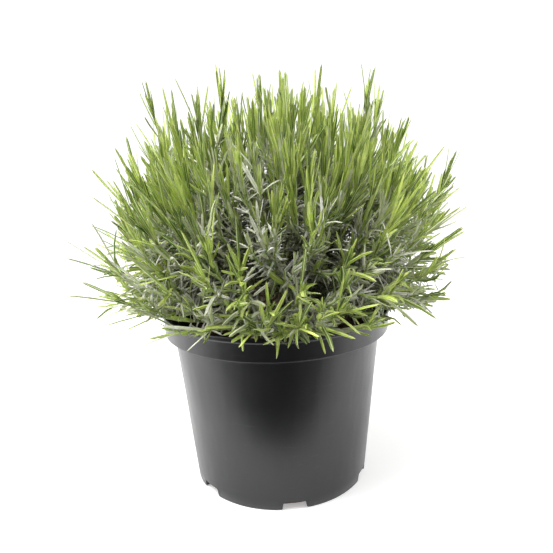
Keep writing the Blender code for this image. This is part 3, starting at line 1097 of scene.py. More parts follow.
    def plan_leaf(self, branch: Branch, place: int, band: tuple[int, int], half: int,
                  attempt: int) -> Blade:
        """One blade of an opposite pair.

        Args:
            branch: the branch that it grows on.
            place: which shoot.
            band: the ring and the pair.
            half: which leaf of the pair.
            attempt: how many plans came before this one.

        Returns:
            The blade.
        """
        ring, pair = band
        draw = random.Random(
            f"{self.form.seed} leaf {branch.index} {place} {pair} {half} {attempt}")
        habit, shoot = branch.habit, branch.shoots[place]
        _, spread, length = habit.nodes[pair]
        way, look = shoot.frames()[ring][2], shoot.look(ring, pair, half)
        root = (shoot.line[ring] + shoot.line[ring + 1]) / 2 + look * shoot.radii[ring] * 0.7
        swing = draw.uniform(-0.25, 0.25) * (1 + attempt * 0.2)
        out = look * math.cos(swing) + way.cross(look) * math.sin(swing)
        opening = math.radians(spread * draw.uniform(0.75, 1.2))
        heading = way * math.cos(opening) + out * math.sin(opening)
        face = (way * math.sin(opening) - out * math.cos(opening)).normalized()
        curl = draw.uniform(-0.07, 0.07) if habit is GREEN else draw.uniform(-0.05, 0.25)
        sag = habit.droop * draw.uniform(0.3, 1.0) * (1 if heading.z < 0.85 else 0.2)
        bend = out * curl - Vector((0, 0, sag))
        size = length * draw.uniform(0.85, 1.12) * 0.93 ** attempt
        return Blade(root, heading, size, bend, face, habit.width * draw.uniform(0.85, 1.15))

    def grow_leaves(self) -> None:
        """Grows all leaves, each turned or shortened to stay clear of the others, or left out."""
        for branch in self.branches:
            for place, shoot in enumerate(branch.shoots):
                for band in shoot.bands:
                    for half in range(2):
                        self.grow_leaf(branch, place, band, half)

    def grow_leaf(self, branch: Branch, place: int, band: tuple[int, int], half: int) -> None:
        """Grows one leaf of a pair, if any of its plans is clear.

        Args:
            branch: the branch that it grows on.
            place: which shoot.
            band: the ring and the pair.
            half: which leaf of the pair.
        """
        shoot = branch.shoots[place]
        ring, pair = band
        piece = 10 * (place + 1) + 2 * pair + half
        twin = piece - 1 if half else piece + 1
        for attempt in range(LEAF_PLANS):
            leaf = self.plan_leaf(branch, place, band, half, attempt)
            line = [leaf.at(0), leaf.at(0.25), leaf.at(0.5), leaf.at(1)]
            wide = leaf.width / 2
            radii = [shoot.radii[ring], wide * 0.8, wide, wide * 0.6]
            own = self.space.of_branch(branch.index)
            pieces = self.space.rods[:, 8]
            apart = own & (pieces != place) & (pieces != twin)
            if (self.form.fit_above(line, POT_CLEARANCE)
                    and self.space.room(line, radii, ~own) > LEAF_CLEARANCE
                    and self.space.room(line, radii, apart) > OWN_CLEARANCE
                    and self.space.room(line[1:], radii[1:], own) > OUTER_CLEARANCE):
                shoot.leaves[pair, half] = leaf
                self.space.add(line, radii, branch.index, piece)
                return


# ---------------------------------------------------------------- foliage

@dataclass
class BladeMould:
    """A master leaf, and copies of it laid along many blades' lines.

    rings holds, for each ring, its place along the leaf and its share of the width.
    """

    sides: int
    rings: tuple[tuple[float, float], ...]
    thickness: float
    groove: float
    points: np.ndarray = field(default_factory=lambda: np.zeros((0, 3)))
    faces: list[list[int]] = field(default_factory=list)

    def model(self) -> None:
        """Models the master: a flat section drawn out ring by ring to a tip."""
        bpy.ops.mesh.primitive_circle_add(vertices=self.sides, radius=0.5, fill_type="NGON")
        master = bpy.context.object
        with editing(master):
            bpy.ops.transform.rotate(value=math.pi / 2, orient_axis="X", center_override=(0, 0, 0))
            bpy.ops.transform.resize(value=(1, 1, self.thickness), center_override=(0, 0, 0))
            choose(master, lambda spot: abs(spot.x) > 0.45)
            bpy.ops.transform.translate(value=(0, 0, -self.groove))
            bpy.ops.mesh.select_all(action="SELECT")
            first_wide = self.rings[0][1]
            bpy.ops.transform.resize(value=(first_wide, 1, first_wide),
                                     center_override=(0, 0, 0))
            along, wide = self.rings[0]
            for next_along, next_wide in self.rings[1:]:
                bpy.ops.mesh.extrude_region_move(
                    TRANSFORM_OT_translate={"value": (0, next_along - along, 0)})
                share = next_wide / wide
                bpy.ops.transform.resize(value=(share, 1, share), center_override=(0, 0, 0))
                along, wide = next_along, next_wide
            bpy.ops.mesh.merge(type="CENTER")
            bpy.ops.mesh.select_all(action="SELECT")
            bpy.ops.mesh.normals_make_consistent(inside=False)
        self.points = np.array([vert.co[:] for vert in master.data.vertices])
        self.faces = [list(polygon.vertices) for polygon in master.data.polygons]
        bpy.data.objects.remove(master)

    def press(self, name: str, blades: list[Blade]) -> bpy.types.Object:
        """Lays a bent copy of the master along each blade, in one mesh.

        Args:
            name: the object's name.
            blades: the blades.

        Returns:
            The object, with its blade UV and its age, tone and deep attributes.
        """
        def rows(values: list) -> np.ndarray:
            """Values of all blades as an array with a row for each."""
            return np.array([tuple(value) for value in values])[:, None, :]

        wide, along, high = self.points.T
        sizes = np.array([[blade.length, blade.width, blade.twist] for blade in blades])
        length, width, twist = (sizes[:, k, None, None] for k in range(3))
        heading, bend = rows([b.heading for b in blades]), rows([b.bend for b in blades])
        share = along[None, :, None]
        centre = rows([b.root for b in blades]) + (heading * share + bend * share ** 2) * length
        tangent = heading + 2 * bend * share
        tangent /= np.linalg.norm(tangent, axis=2, keepdims=True)
        face = rows([b.face for b in blades])
        face = face - tangent * (face * tangent).sum(2, keepdims=True)
        face /= np.linalg.norm(face, axis=2, keepdims=True)
        across = np.cross(tangent, face)
        turn = twist * share
        out_x = across * np.cos(turn) + face * np.sin(turn)
        out_z = face * np.cos(turn) - across * np.sin(turn)
        spots = centre + (out_x * wide[None, :, None] + out_z * high[None, :, None]) * width

        count = len(self.points)
        faces = [[corner + count * copy for corner in corners]
                 for copy in range(len(blades)) for corners in self.faces]
        mesh = bpy.data.meshes.new(name)
        mesh.from_pydata(spots.reshape(-1, 3).tolist(), [], faces)
        for kind in ("age", "tone", "deep"):
            values = np.repeat([getattr(blade, kind) for blade in blades], count)
            mesh.attributes.new(kind, "FLOAT", "POINT").data.foreach_set(
                "value", values.astype(np.float32))
        flat = np.stack((wide + 0.5, along), axis=1)
        corners = np.zeros(len(mesh.loops), dtype=np.int32)
        mesh.loops.foreach_get("vertex_index", corners)
        mesh.uv_layers.new(name="blade").data.foreach_set(
            "uv", flat[corners % count].astype(np.float32).ravel())
        thing = bpy.data.objects.new(name, mesh)
        bpy.context.scene.collection.objects.link(thing)
        return thing


@dataclass
class Stem:
    """One smooth stem: its points and its radius at each, from foot to tip."""

    points: list[Vector]
    radii: list[float]


class Kind(Enum):
    """How the leaves along a stem look."""

    GREEN = "green"
    SILVER = "silver"


@dataclass(frozen=True)
class Tier:
    """A layer of shoots that fills the head: how many are tried, where, and their look.

    spread holds one less the cosine of its least and its greatest lean, and reach the shares of the
    head's size that its tips reach. Tips stand crowding apart, and none stands where clumps part
    by more than cleft. silver is the chance of old leaves, tip_leaf what the last leaves add, and
    stretch the wanted length of a shoot.
    """

    name: str
    count: int
    spread: tuple[float, float]
    reach: tuple[float, float]
    crowding: float
    cleft: float
    silver: float
    tip_leaf: float
    stretch: float


TIERS = (
    Tier("outer", 330, (0.0, 1.20), (0.78, 1.01), 0.0125, 0.16, 0.05, 0.030, 0.055),
    Tier("top", 170, (0.0, 0.50), (0.76, 0.97), 0.0095, 0.30, 0.05, 0.030, 0.050),
    Tier("skirt", 90, (1.12, 1.36), (0.68, 0.82), 0.0085, 2.0, 0.50, 0.010, 0.032),
    Tier("inner", 250, (0.0, 1.22), (0.46, 0.80), 0.0105, 2.0, 1.0, 0.012, 0.032))

# Long shoots that stand out over the outline: where their leaves end.
LONE_TIPS = ((-0.092, -0.010, 0.333), (-0.037, -0.030, 0.335), (0.079, -0.010, 0.334),
             (0.088, 0.004, 0.322), (0.140, -0.010, 0.272))
LONE_TILT = 0.10                # how far a lone shoot's end leans out, in radians
LONE_TIP_LEAF = 0.028
LONE_STRETCH = 0.065

FINE_GIRTH = 0.0012             # a filling shoot's radius at its foot
TIP_GIRTH = 0.0006              # any stem's radius at its tip
FINE_STEPS = 8
BARE_FOOT = 0.12                # the share of a filling shoot without leaves
SKIRT_SPARE = 0.004             # how far a shoot ends over the skirt's edge
FINE_CLEARANCE = 0.0012         # of a filling shoot from the pot and the soil
LEAF_POT_CLEARANCE = 0.001
BOX_SPARE = 0.003               # how far a leaf may pass the solids' box
TURN_COST = 0.05                # what a turn of one radian costs a stem, in metres
SILVER_BRANCH_SHARE = 0.5       # how many shoots of a silver branch are silver, at least
WOOD_REACH = 0.125              # how far from the crown a stem is woody


@dataclass(frozen=True)
class HeadRule:
    """How the filling shoots stand. Turns are in radians; a pair holds the ends of a draw."""

    turn_draw: tuple[float, float] = (-0.06, 0.06)
    patch_reach: float = 0.85
    bare_reach: float = 0.16
    bare_crowding: float = 0.35
    clumps: float = 30
    clump_bareness: float = 0.3
    upright: float = 0.45
    outward: float = 0.55
    facing_hold: float = 0.3
    outward_lean: float = 1.1
    outward_span: float = 0.5
    tilt_draw: tuple[float, float] = (-0.12, 0.12)
    way_draw: tuple[float, float] = (-0.2, 0.2)


@dataclass(frozen=True)
class LeafRule:
    """How leaves stand, age and bend along a stem.

    Lengths are in metres and spreads in degrees. A pair of numbers holds the ends of a draw. What
    starts with low counts in full on shoots at the skirt, and what starts with bare in patches.
    """

    far_from_tip: float = 0.030
    far_step: float = 0.0032
    near_step: float = 0.0048
    step_draw: tuple[float, float] = (0.85, 1.15)
    new_end: float = 0.008
    ageing_length: float = 0.034
    age_draw: tuple[float, float] = (-0.2, 0.2)
    low_wear: float = 0.3
    bare_wear: float = 1.1
    silver_age: float = 0.45
    old_age: float = 0.62
    hidden_depth: float = 0.9
    hidden_share: float = 0.6
    spread: float = 7
    low_spread: float = 22
    old_spread: float = 52
    green_spread: float = 12
    spread_draw: tuple[float, float] = (0.6, 1.3)
    swing_draw: tuple[float, float] = (-0.5, 0.5)
    old_length: tuple[float, float] = (0.006, 0.012)
    old_width: tuple[float, float] = (0.0013, 0.0019)
    old_curl: tuple[float, float] = (-0.9, 0.7)
    old_sag: float = 0.3
    green_length: float = 0.030
    silver_length: float = 0.022
    age_shortening: float = 0.008
    length_draw: tuple[float, float] = (0.7, 1.15)
    low_shortening: float = 0.2
    green_width: tuple[float, float] = (0.0015, 0.0022)
    low_widening: float = 0.9
    inward: float = 0.7
    inward_draw: tuple[float, float] = (0.1, 1.0)
    low_curl: tuple[float, float] = (-0.9, 0.5)
    side_curl: tuple[float, float] = (-0.12, 0.12)
    low_sag: float = 0.35
    low_shade: float = 0.45
    dead_share: float = 0.30
    dead_shade: float = 0.6
    bare_light: float = 0.5


@dataclass(frozen=True)
class TipRule:
    """The small upright leaves that close a shoot's tip, in the terms of LeafRule."""

    spread: float = 13
    closing: float = 4
    spread_draw: tuple[float, float] = (0.4, 1.2)
    green_length: float = 0.030
    silver_length: float = 0.018
    inner_shortening: float = 0.3
    low_shortening: float = 0.4
    length_draw: tuple[float, float] = (0.8, 1.1)
    green_age: tuple[float, float] = (0, 0.12)
    silver_age: tuple[float, float] = (0.3, 0.8)
    bend: tuple[float, float] = (-0.08, 0.03)
    width: tuple[float, float] = (0.0012, 0.0017)
    tone: tuple[float, float] = (0.3, 1.0)
    twist: tuple[float, float] = (-0.4, 0.4)


@dataclass(frozen=True)
class DressRule:
    """How the solids' own leaves are made finer, and where leaves begin along their stems."""

    green_age: tuple[float, float] = (0.0, 0.2)
    silver_age: tuple[float, float] = (0.5, 1)
    bare_age: float = 0.7
    tone: tuple[float, float] = (0.2, 1.0)
    width: float = 0.64
    twist: tuple[float, float] = (-0.5, 0.5)
    taper: float = 0.8
    first_start: float = 0.14
    fork_start: float = 0.05


@dataclass(frozen=True)
class ShadeRule:
    """How a place inside the head darkens: in full by most, and less by fall towards its edge."""

    most: float = 0.97
    middle: float = 2.02
    fall: float = 2.4
    tall: float = 1.4


@dataclass
class Foliage:
    """Dresses the grown branches: fine stems and leaves, and the shoots that fill the head."""

    form: PlantForm
    branches: list[Branch]
    low: Vector
    high: Vector
    blades: dict[int, list[Blade]] = field(default_factory=dict)
    stems: dict[int, list[Stem]] = field(default_factory=dict)
    old_blades: dict[int, list[Blade]] = field(default_factory=dict)
    mould: BladeMould = field(default_factory=lambda: BladeMould(
        4, ((0.0, 0.50), (0.25, 0.95), (0.68, 1.0), (0.92, 0.74), (1.0, 0.28)), 0.24, 0.20))
    old_mould: BladeMould = field(default_factory=lambda: BladeMould(
        4, ((0.0, 0.55), (0.30, 1.0), (0.80, 0.90), (1.0, 0.30)), 0.30, 0.16))
    head_rule: HeadRule = HeadRule()
    leaf_rule: LeafRule = LeafRule()
    tip_rule: TipRule = TipRule()
    dress_rule: DressRule = DressRule()
    shade: ShadeRule = ShadeRule()

    def build(self) -> None:
        """Builds pieces of leaves, old leaves and stems for each branch."""
        self.mould.model()
        self.old_mould.model()
        for branch in self.branches:
            self.blades[branch.index] = []
            self.old_blades[branch.index] = []
            self.stems[branch.index] = []
            self.dress_branch(branch)
        for tier in TIERS:
            self.fill_head(tier)
        self.raise_lone_shoots()
        leaf_skin, stem_skin = LeafSkin().make(), StemSkin().make()
        for branch in self.branches:
            leaves = self.mould.press(f"{branch.name}_leaves", self.blades[branch.index])
            dress(settle(leaves, leaves.name, math.radians(50)), leaf_skin)
            old = self.old_mould.press(f"{branch.name}_old_leaves",
                                       self.old_blades[branch.index])
            dress(settle(old, old.name, math.radians(50)), leaf_skin)
            stems = self.tube(f"{branch.name}_stems", self.stems[branch.index])
            dress(stems, stem_skin)
            for piece in (leaves, old, stems):
                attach(piece, "root")
                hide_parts(branch.name)
            log.info("%s: %d faces", branch.name,
                     sum(len(piece.data.polygons) for piece in (leaves, old, stems)))
        log.info("foliage: %d leaves, %d old leaves, %d stems", *(
            sum(map(len, kept.values())) for kept in (self.blades, self.old_blades, self.stems)))

    def tube(self, name: str, stems: list[Stem]) -> bpy.types.Object:
        """Rounds stems out from their lines, in one piece.

        Args:
            name: the piece's name.
            stems: its stems.

        Returns:
            The piece, with its age attribute.
        """
        curve = bpy.data.curves.new(name, "CURVE")
        curve.dimensions = "3D"
        curve.bevel_depth = 1.0
        curve.bevel_resolution = 1
        curve.use_fill_caps = True
        for stem in stems:
            spline = curve.splines.new("POLY")
            spline.points.add(len(stem.points) - 1)
            for knot, spot, radius in zip(spline.points, stem.points, stem.radii):
                knot.co = (*spot, 1)
                knot.radius = radius
        thing = bpy.data.objects.new(name, curve)
        bpy.context.scene.collection.objects.link(thing)
        take(thing)
        bpy.ops.object.convert(target="MESH")
        thing = bpy.context.object
        apply_modifier(thing, "WELD", merge_threshold=0.00001)
        with editing(thing):
            bpy.ops.mesh.normals_make_consistent(inside=False)
        centre = Vector((0, 0, self.form.crown_centre))
        age = [max(0.0, 1 - (vert.co - centre).length / WOOD_REACH)
               for vert in thing.data.vertices]
        thing.data.attributes.new("age", "FLOAT", "POINT").data.foreach_set("value", age)
        return settle(thing, name, math.radians(60))

    def depth(self, spot: Vector) -> float:
        """How deep inside the head a place is.

        Args:
            spot: the place.

        Returns:
            0 near the head's surface, and almost 1 at its middle.
        """
        out = spot.xy.length / self.form.head_reach
        up = max(0.0, spot.z - self.form.soil_top) / (self.form.head_rise * self.shade.tall)
        return held(self.shade.middle - self.shade.fall * math.hypot(out, up), 0.0,
                    self.shade.most)

    def within(self, blade: Blade) -> bool:
        """Whether a blade keeps its place.

        Args:
            blade: the blade.

        Returns:
            Whether it stays in the plant's box, over the skirt, and clear of the pot and soil.
        """
        spots = [blade.at(0.5), blade.at(1)]
        inside = all(low - BOX_SPARE < value < high + BOX_SPARE for spot in spots
                     for low, value, high in zip(self.low, spot, self.high))
        hangs = spots[1].z < self.form.skirt_at(spots[1])
        line = [blade.at(0.1), *spots]
        return inside and not hangs and self.form.fit_above(line, LEAF_POT_CLEARANCE)

    def dress_branch(self, branch: Branch) -> None:
        """Makes the fine stems of a branch and all the leaves along them.

        Args:
            branch: the branch.
        """
        habit, rule = branch.habit, self.dress_rule
        kind = Kind.GREEN if habit is GREEN else Kind.SILVER
        ages = rule.green_age if kind is Kind.GREEN else rule.silver_age
        for place, shoot in enumerate(branch.shoots):
            draw = random.Random(f"{self.form.seed} dress {branch.index} {place}")
            count = len(shoot.course) - 1
            foot = habit.girth[1] * FORK_GIRTH if place else habit.girth[0]
            radii = [foot + (TIP_GIRTH - foot) * (k / count) ** rule.taper
                     for k in range(count + 1)]
            self.stems[branch.index].append(Stem(shoot.course, radii))
            for blade in shoot.leaves.values():
                blade.age = draw.uniform(*ages)
                blade.age += rule.bare_age * self.form.bareness(blade.root)
                blade.tone = draw.uniform(*rule.tone)
                blade.width *= rule.width
                blade.twist = draw.uniform(*rule.twist)
                self.blades[branch.index].append(blade)
            start = rule.fork_start if place else rule.first_start
            self.leaf_out(branch, shoot.course, kind, draw, start)

    def leaf_out(self, branch: Branch, course: list[Vector], kind: Kind, draw: random.Random,
                 start: float) -> None:
        """Grows opposite pairs all along a stem, a little further apart near its tip.

        Args:
            branch: the branch that gets the leaves.
            course: the stem's smooth line.
            kind: how its leaves look.
            draw: random draws.
            start: the share of the stem where the leaves begin.
        """
        rule = self.leaf_rule
        steps = [(b - a).length for a, b in zip(course, course[1:])]
        total = sum(steps)
        way = (course[1] - course[0]).normalized()
        across = way.orthogonal().normalized()
        low = self.form.lowness(course[-1])
        roll = draw.uniform(0, math.tau)
        travelled, due, pair = 0.0, total * start, 0
        for spot, after, step in zip(course, course[1:], steps):
            way = (after - spot).normalized()
            across = (across - way * across.dot(way)).normalized()
            up = way.cross(across)
            while due <= travelled + step:
                from_tip = total - due
                root = spot.lerp(after, (due - travelled) / step)
                angle = roll + pair * math.pi / 2
                look = across * math.cos(angle) + up * math.sin(angle)
                cross = way.cross(look)
                for place, side in enumerate((look, -look, look + cross, -look - cross)):
                    self.add_blade(branch, root, (way, side.normalized()), (from_tip, low),
                                   kind, draw, place > 1)
                pair += 1
                gap = rule.far_step if from_tip > rule.far_from_tip else rule.near_step
                due += gap * draw.uniform(*rule.step_draw)
            travelled += step
        for turn in range(2):
            angle = roll + (pair + turn) * math.pi / 2
            look = across * math.cos(angle) + up * math.sin(angle)
            for side in (look, -look):
                self.add_tip_blade(branch, course[-1], way, side, kind, draw, turn)

    def add_blade(self, branch: Branch, root: Vector, ways: tuple[Vector, Vector],
                  station: tuple[float, float], kind: Kind, draw: random.Random,
                  extra: bool) -> None:
        """Adds one leaf along a stem.

        Args:
            branch: the branch that gets it.
            root: where it stands.
            ways: the stem's direction there, and away from the stem.
            station: how far below the tip it stands, and how low the stem hangs, 0 to 1.
            kind: how the stem's leaves look.
            draw: random draws.
            extra: whether it is a side leaf of a tuft, which only old wood has.
        """
        rule = self.leaf_rule
        way, look = ways
        from_tip, low = station
        bare = self.form.bareness(root)
        worn = rule.low_wear * low + rule.bare_wear * bare
        age = ((from_tip - rule.new_end) / rule.ageing_length + draw.uniform(*rule.age_draw)
               + worn * draw.random())
        age = held(age + (0.0 if kind is Kind.GREEN else rule.silver_age))
        old = age > rule.old_age
        hidden = self.depth(root) > rule.hidden_depth
        if extra and not old or hidden and draw.random() < rule.hidden_share:
            return
        opening = rule.old_spread if old else rule.green_spread
        spread = math.radians((rule.spread + rule.low_spread * low + opening * age)
                              * draw.uniform(*rule.spread_draw))
        swing = draw.uniform(*rule.swing_draw)
        out = look * math.cos(swing) + way.cross(look) * math.sin(swing)
        heading = way * math.cos(spread) + out * math.sin(spread)
        face = (way * math.sin(spread) - out * math.cos(spread)).normalized()
        if old:
            length, width, bend = self.old_shape(out, draw)
        else:
            length, width, bend = self.green_shape((way, out), (age, low, spread), kind, draw)
        # deep is painted shade: leaves deep in the head darken, and low skirt leaves darken at
        # random; dead leaves then darken for real, and bare patches take less painted shade
        deep = max(self.depth(root + heading * length * 0.5), rule.low_shade * low * draw.random())
        if old and draw.random() < rule.dead_share:
            deep = rule.dead_shade + (1 - rule.dead_shade) * deep
        deep *= 1 - rule.bare_light * min(1.0, bare)
        blade = Blade(root, heading, length, bend, face, width, age,
                      draw.uniform(0.0, 1.0), draw.uniform(-1, 1) * (0.5 + age), deep)
        if self.within(blade):
            kept = self.old_blades if old else self.blades
            kept[branch.index].append(blade)

    def old_shape(self, out: Vector, draw: random.Random) -> tuple[float, float, Vector]:
        """The shape of an old leaf: short, curled either way and sagging.

        Args:
            out: the direction away from the stem.
            draw: random draws.

        Returns:
            Its length, width and bend.
        """
        rule = self.leaf_rule
        length = draw.uniform(*rule.old_length)
        width = draw.uniform(*rule.old_width)
        bend = out * draw.uniform(*rule.old_curl)
        bend.z -= rule.old_sag * draw.random()
        return length, width, bend

    def green_shape(self, ways: tuple[Vector, Vector], state: tuple[float, float, float],
                    kind: Kind, draw: random.Random) -> tuple[float, float, Vector]:
        """The shape of a young leaf: it bends back towards the stem, or anyhow on low shoots.

        Args:
            ways: the stem's direction, and away from the stem.
            state: its age, how low its shoot hangs and its spread in radians.
            kind: how the stem's leaves look.
            draw: random draws.

        Returns:
            Its length, width and bend.
        """
        rule = self.leaf_rule
        way, out = ways
        age, low, spread = state
        longest = rule.green_length if kind is Kind.GREEN else rule.silver_length
        length = ((longest - rule.age_shortening * age) * draw.uniform(*rule.length_draw)
                  * (1 - rule.low_shortening * low))
        width = draw.uniform(*rule.green_width) * (1 + rule.low_widening * low * draw.random())
        bend = out * (-rule.inward * math.sin(spread) * draw.uniform(*rule.inward_draw) * (1 - low)
                      + low * draw.uniform(*rule.low_curl))
        bend += way.cross(out) * draw.uniform(*rule.side_curl) * (1 + 2 * low)
        bend.z -= rule.low_sag * low * draw.random()
        return length, width, bend

    def add_tip_blade(self, branch: Branch, root: Vector, way: Vector, look: Vector, kind: Kind,
                      draw: random.Random, turn: int) -> None:
        """Adds one of the small upright leaves that close a shoot's tip.

        Args:
            branch: the branch that gets it.
            root: the tip.
            way: the stem's direction.
            look: away from the stem.
            kind: how the stem's leaves look.
            draw: random draws.
            turn: 0 for the outer pair, more for those inside it.
        """
        rule = self.tip_rule
        spread = math.radians(rule.spread - rule.closing * turn) * draw.uniform(*rule.spread_draw)
        heading = way * math.cos(spread) + look * math.sin(spread)
        face = (way * math.sin(spread) - look * math.cos(spread)).normalized()
        green = kind is Kind.GREEN
        longest = rule.green_length if green else rule.silver_length
        length = (longest * (1 - rule.inner_shortening * turn) * draw.uniform(*rule.length_draw)
                  * (1 - rule.low_shortening * self.form.lowness(root)))
        age = draw.uniform(*(rule.green_age if green else rule.silver_age))
        blade = Blade(root, heading, length, look * draw.uniform(*rule.bend), face,
                      draw.uniform(*rule.width), age, draw.uniform(*rule.tone),
                      draw.uniform(*rule.twist))
        if self.within(blade):
            self.blades[branch.index].append(blade)

    def fill_head(self, tier: Tier) -> None:
        """Grows shoots between those of the solids, from the most willing stem for each place.

        Args:
            tier: the layer of shoots.
        """
        form, rule = self.form, self.head_rule
        tips = [shoot.course[-1] for branch in self.branches for shoot in branch.shoots]
        stations = self.stations()
        for index in range(tier.count):
            draw = random.Random(f"{form.seed} {tier.name} {index}")
            least, most = tier.spread
            lean = math.acos(1 - least - (index + 0.5) / tier.count * (most - least))
            turn = index * GOLDEN_ANGLE + draw.uniform(*rule.turn_draw)
            patch = form.bareness(form.head_point(lean, turn, rule.patch_reach))
            bare = tier.silver * min(1.0, patch)
            reach = draw.uniform(*tier.reach) + rule.bare_reach * bare
            spot = form.shouldered(form.head_point(lean, turn, reach))
            parting = noise.noise(spot * rule.clumps) + rule.clump_bareness * form.bareness(spot)
            if parting > tier.cleft:
                continue
            facing = max(0.0, -math.sin(turn)) ** 2
            upright = (rule.upright + (rule.outward - rule.facing_hold * facing)
                       * held((lean - rule.outward_lean) / rule.outward_span))
            way = heading_of(form.tilt_at(lean) * upright + draw.uniform(*rule.tilt_draw),
                             turn + draw.uniform(*rule.way_draw))
            tip = spot - way * tier.tip_leaf
            room = tier.crowding * (1 - rule.bare_crowding * bare)
            if min((tip - other).length for other in tips) < room:
                continue
            if self.send_shoot(tip, way, (tier.stretch, tier.silver), stations, draw):
                tips.append(tip)

    def raise_lone_shoots(self) -> None:
        """Raises the few long shoots that stand out over the head's outline."""
        stations = self.stations()
        for index, place in enumerate(LONE_TIPS):
            draw = random.Random(f"{self.form.seed} lone {index}")
            way = heading_of(LONE_TILT, math.atan2(place[1], place[0]))
            tip = Vector(place) - way * LONE_TIP_LEAF
            sent = self.send_shoot(tip, way, (LONE_STRETCH, 0.0), stations, draw)
            log.info("lone shoot %d: %s", index, sent)

    def stations(self) -> list[tuple[Branch, Vector, Vector]]:
        """The points of the solids' stems that can send out a shoot, with the way on from each."""
        return [(branch, shoot.course[k], shoot.course[k + 1] - shoot.course[k])
                for branch in self.branches for shoot in branch.shoots
                for k in range(2, len(shoot.course) - 4)]

    def send_shoot(self, tip: Vector, way: Vector, nature: tuple[float, float],
                   stations: list[tuple[Branch, Vector, Vector]], draw: random.Random) -> bool:
        """Grows one shoot from the most willing stem to a tip.

        Args:
            tip: where its stem ends.
            way: the stem's direction there.
            nature: its wanted length and its chance of silver leaves.
            stations: the points that can send it.
            draw: random draws.

        Returns:
            Whether it could grow clear of the pot and the soil.
        """
        stretch, silver = nature
        branch, foot, ahead = min(
            stations, key=lambda s: self.unwillingness(s[1], s[2], tip, stretch))
        ahead = ahead.normalized()
        length = (tip - foot).length
        controls = (foot, foot + ahead * length * 0.3, tip - way * length * 0.38, tip)
        course = [bezier(controls, k / FINE_STEPS) for k in range(FINE_STEPS + 1)]
        hangs = tip.z < self.form.skirt_at(tip) + SKIRT_SPARE
        if hangs or not self.form.fit_above(course, FINE_CLEARANCE):
            return False
        radii = [FINE_GIRTH + (TIP_GIRTH - FINE_GIRTH) * k / FINE_STEPS
                 for k in range(FINE_STEPS + 1)]
        silver = max(silver, SILVER_BRANCH_SHARE if branch.habit is SILVER else 0.0)
        kind = Kind.SILVER if draw.random() < silver else Kind.GREEN
        self.stems[branch.index].append(Stem(course, radii))
        self.leaf_out(branch, course, kind, draw, BARE_FOOT)
        return True

    @staticmethod
    def unwillingness(foot: Vector, ahead: Vector, tip: Vector, stretch: float) -> float:
        """How unwilling a stem is to send a shoot from one of its points to a tip."""
        reach = tip - foot
        return abs(reach.length - stretch) + TURN_COST * reach.angle(ahead)


# ---------------------------------------------------------------- pot, soil and crown

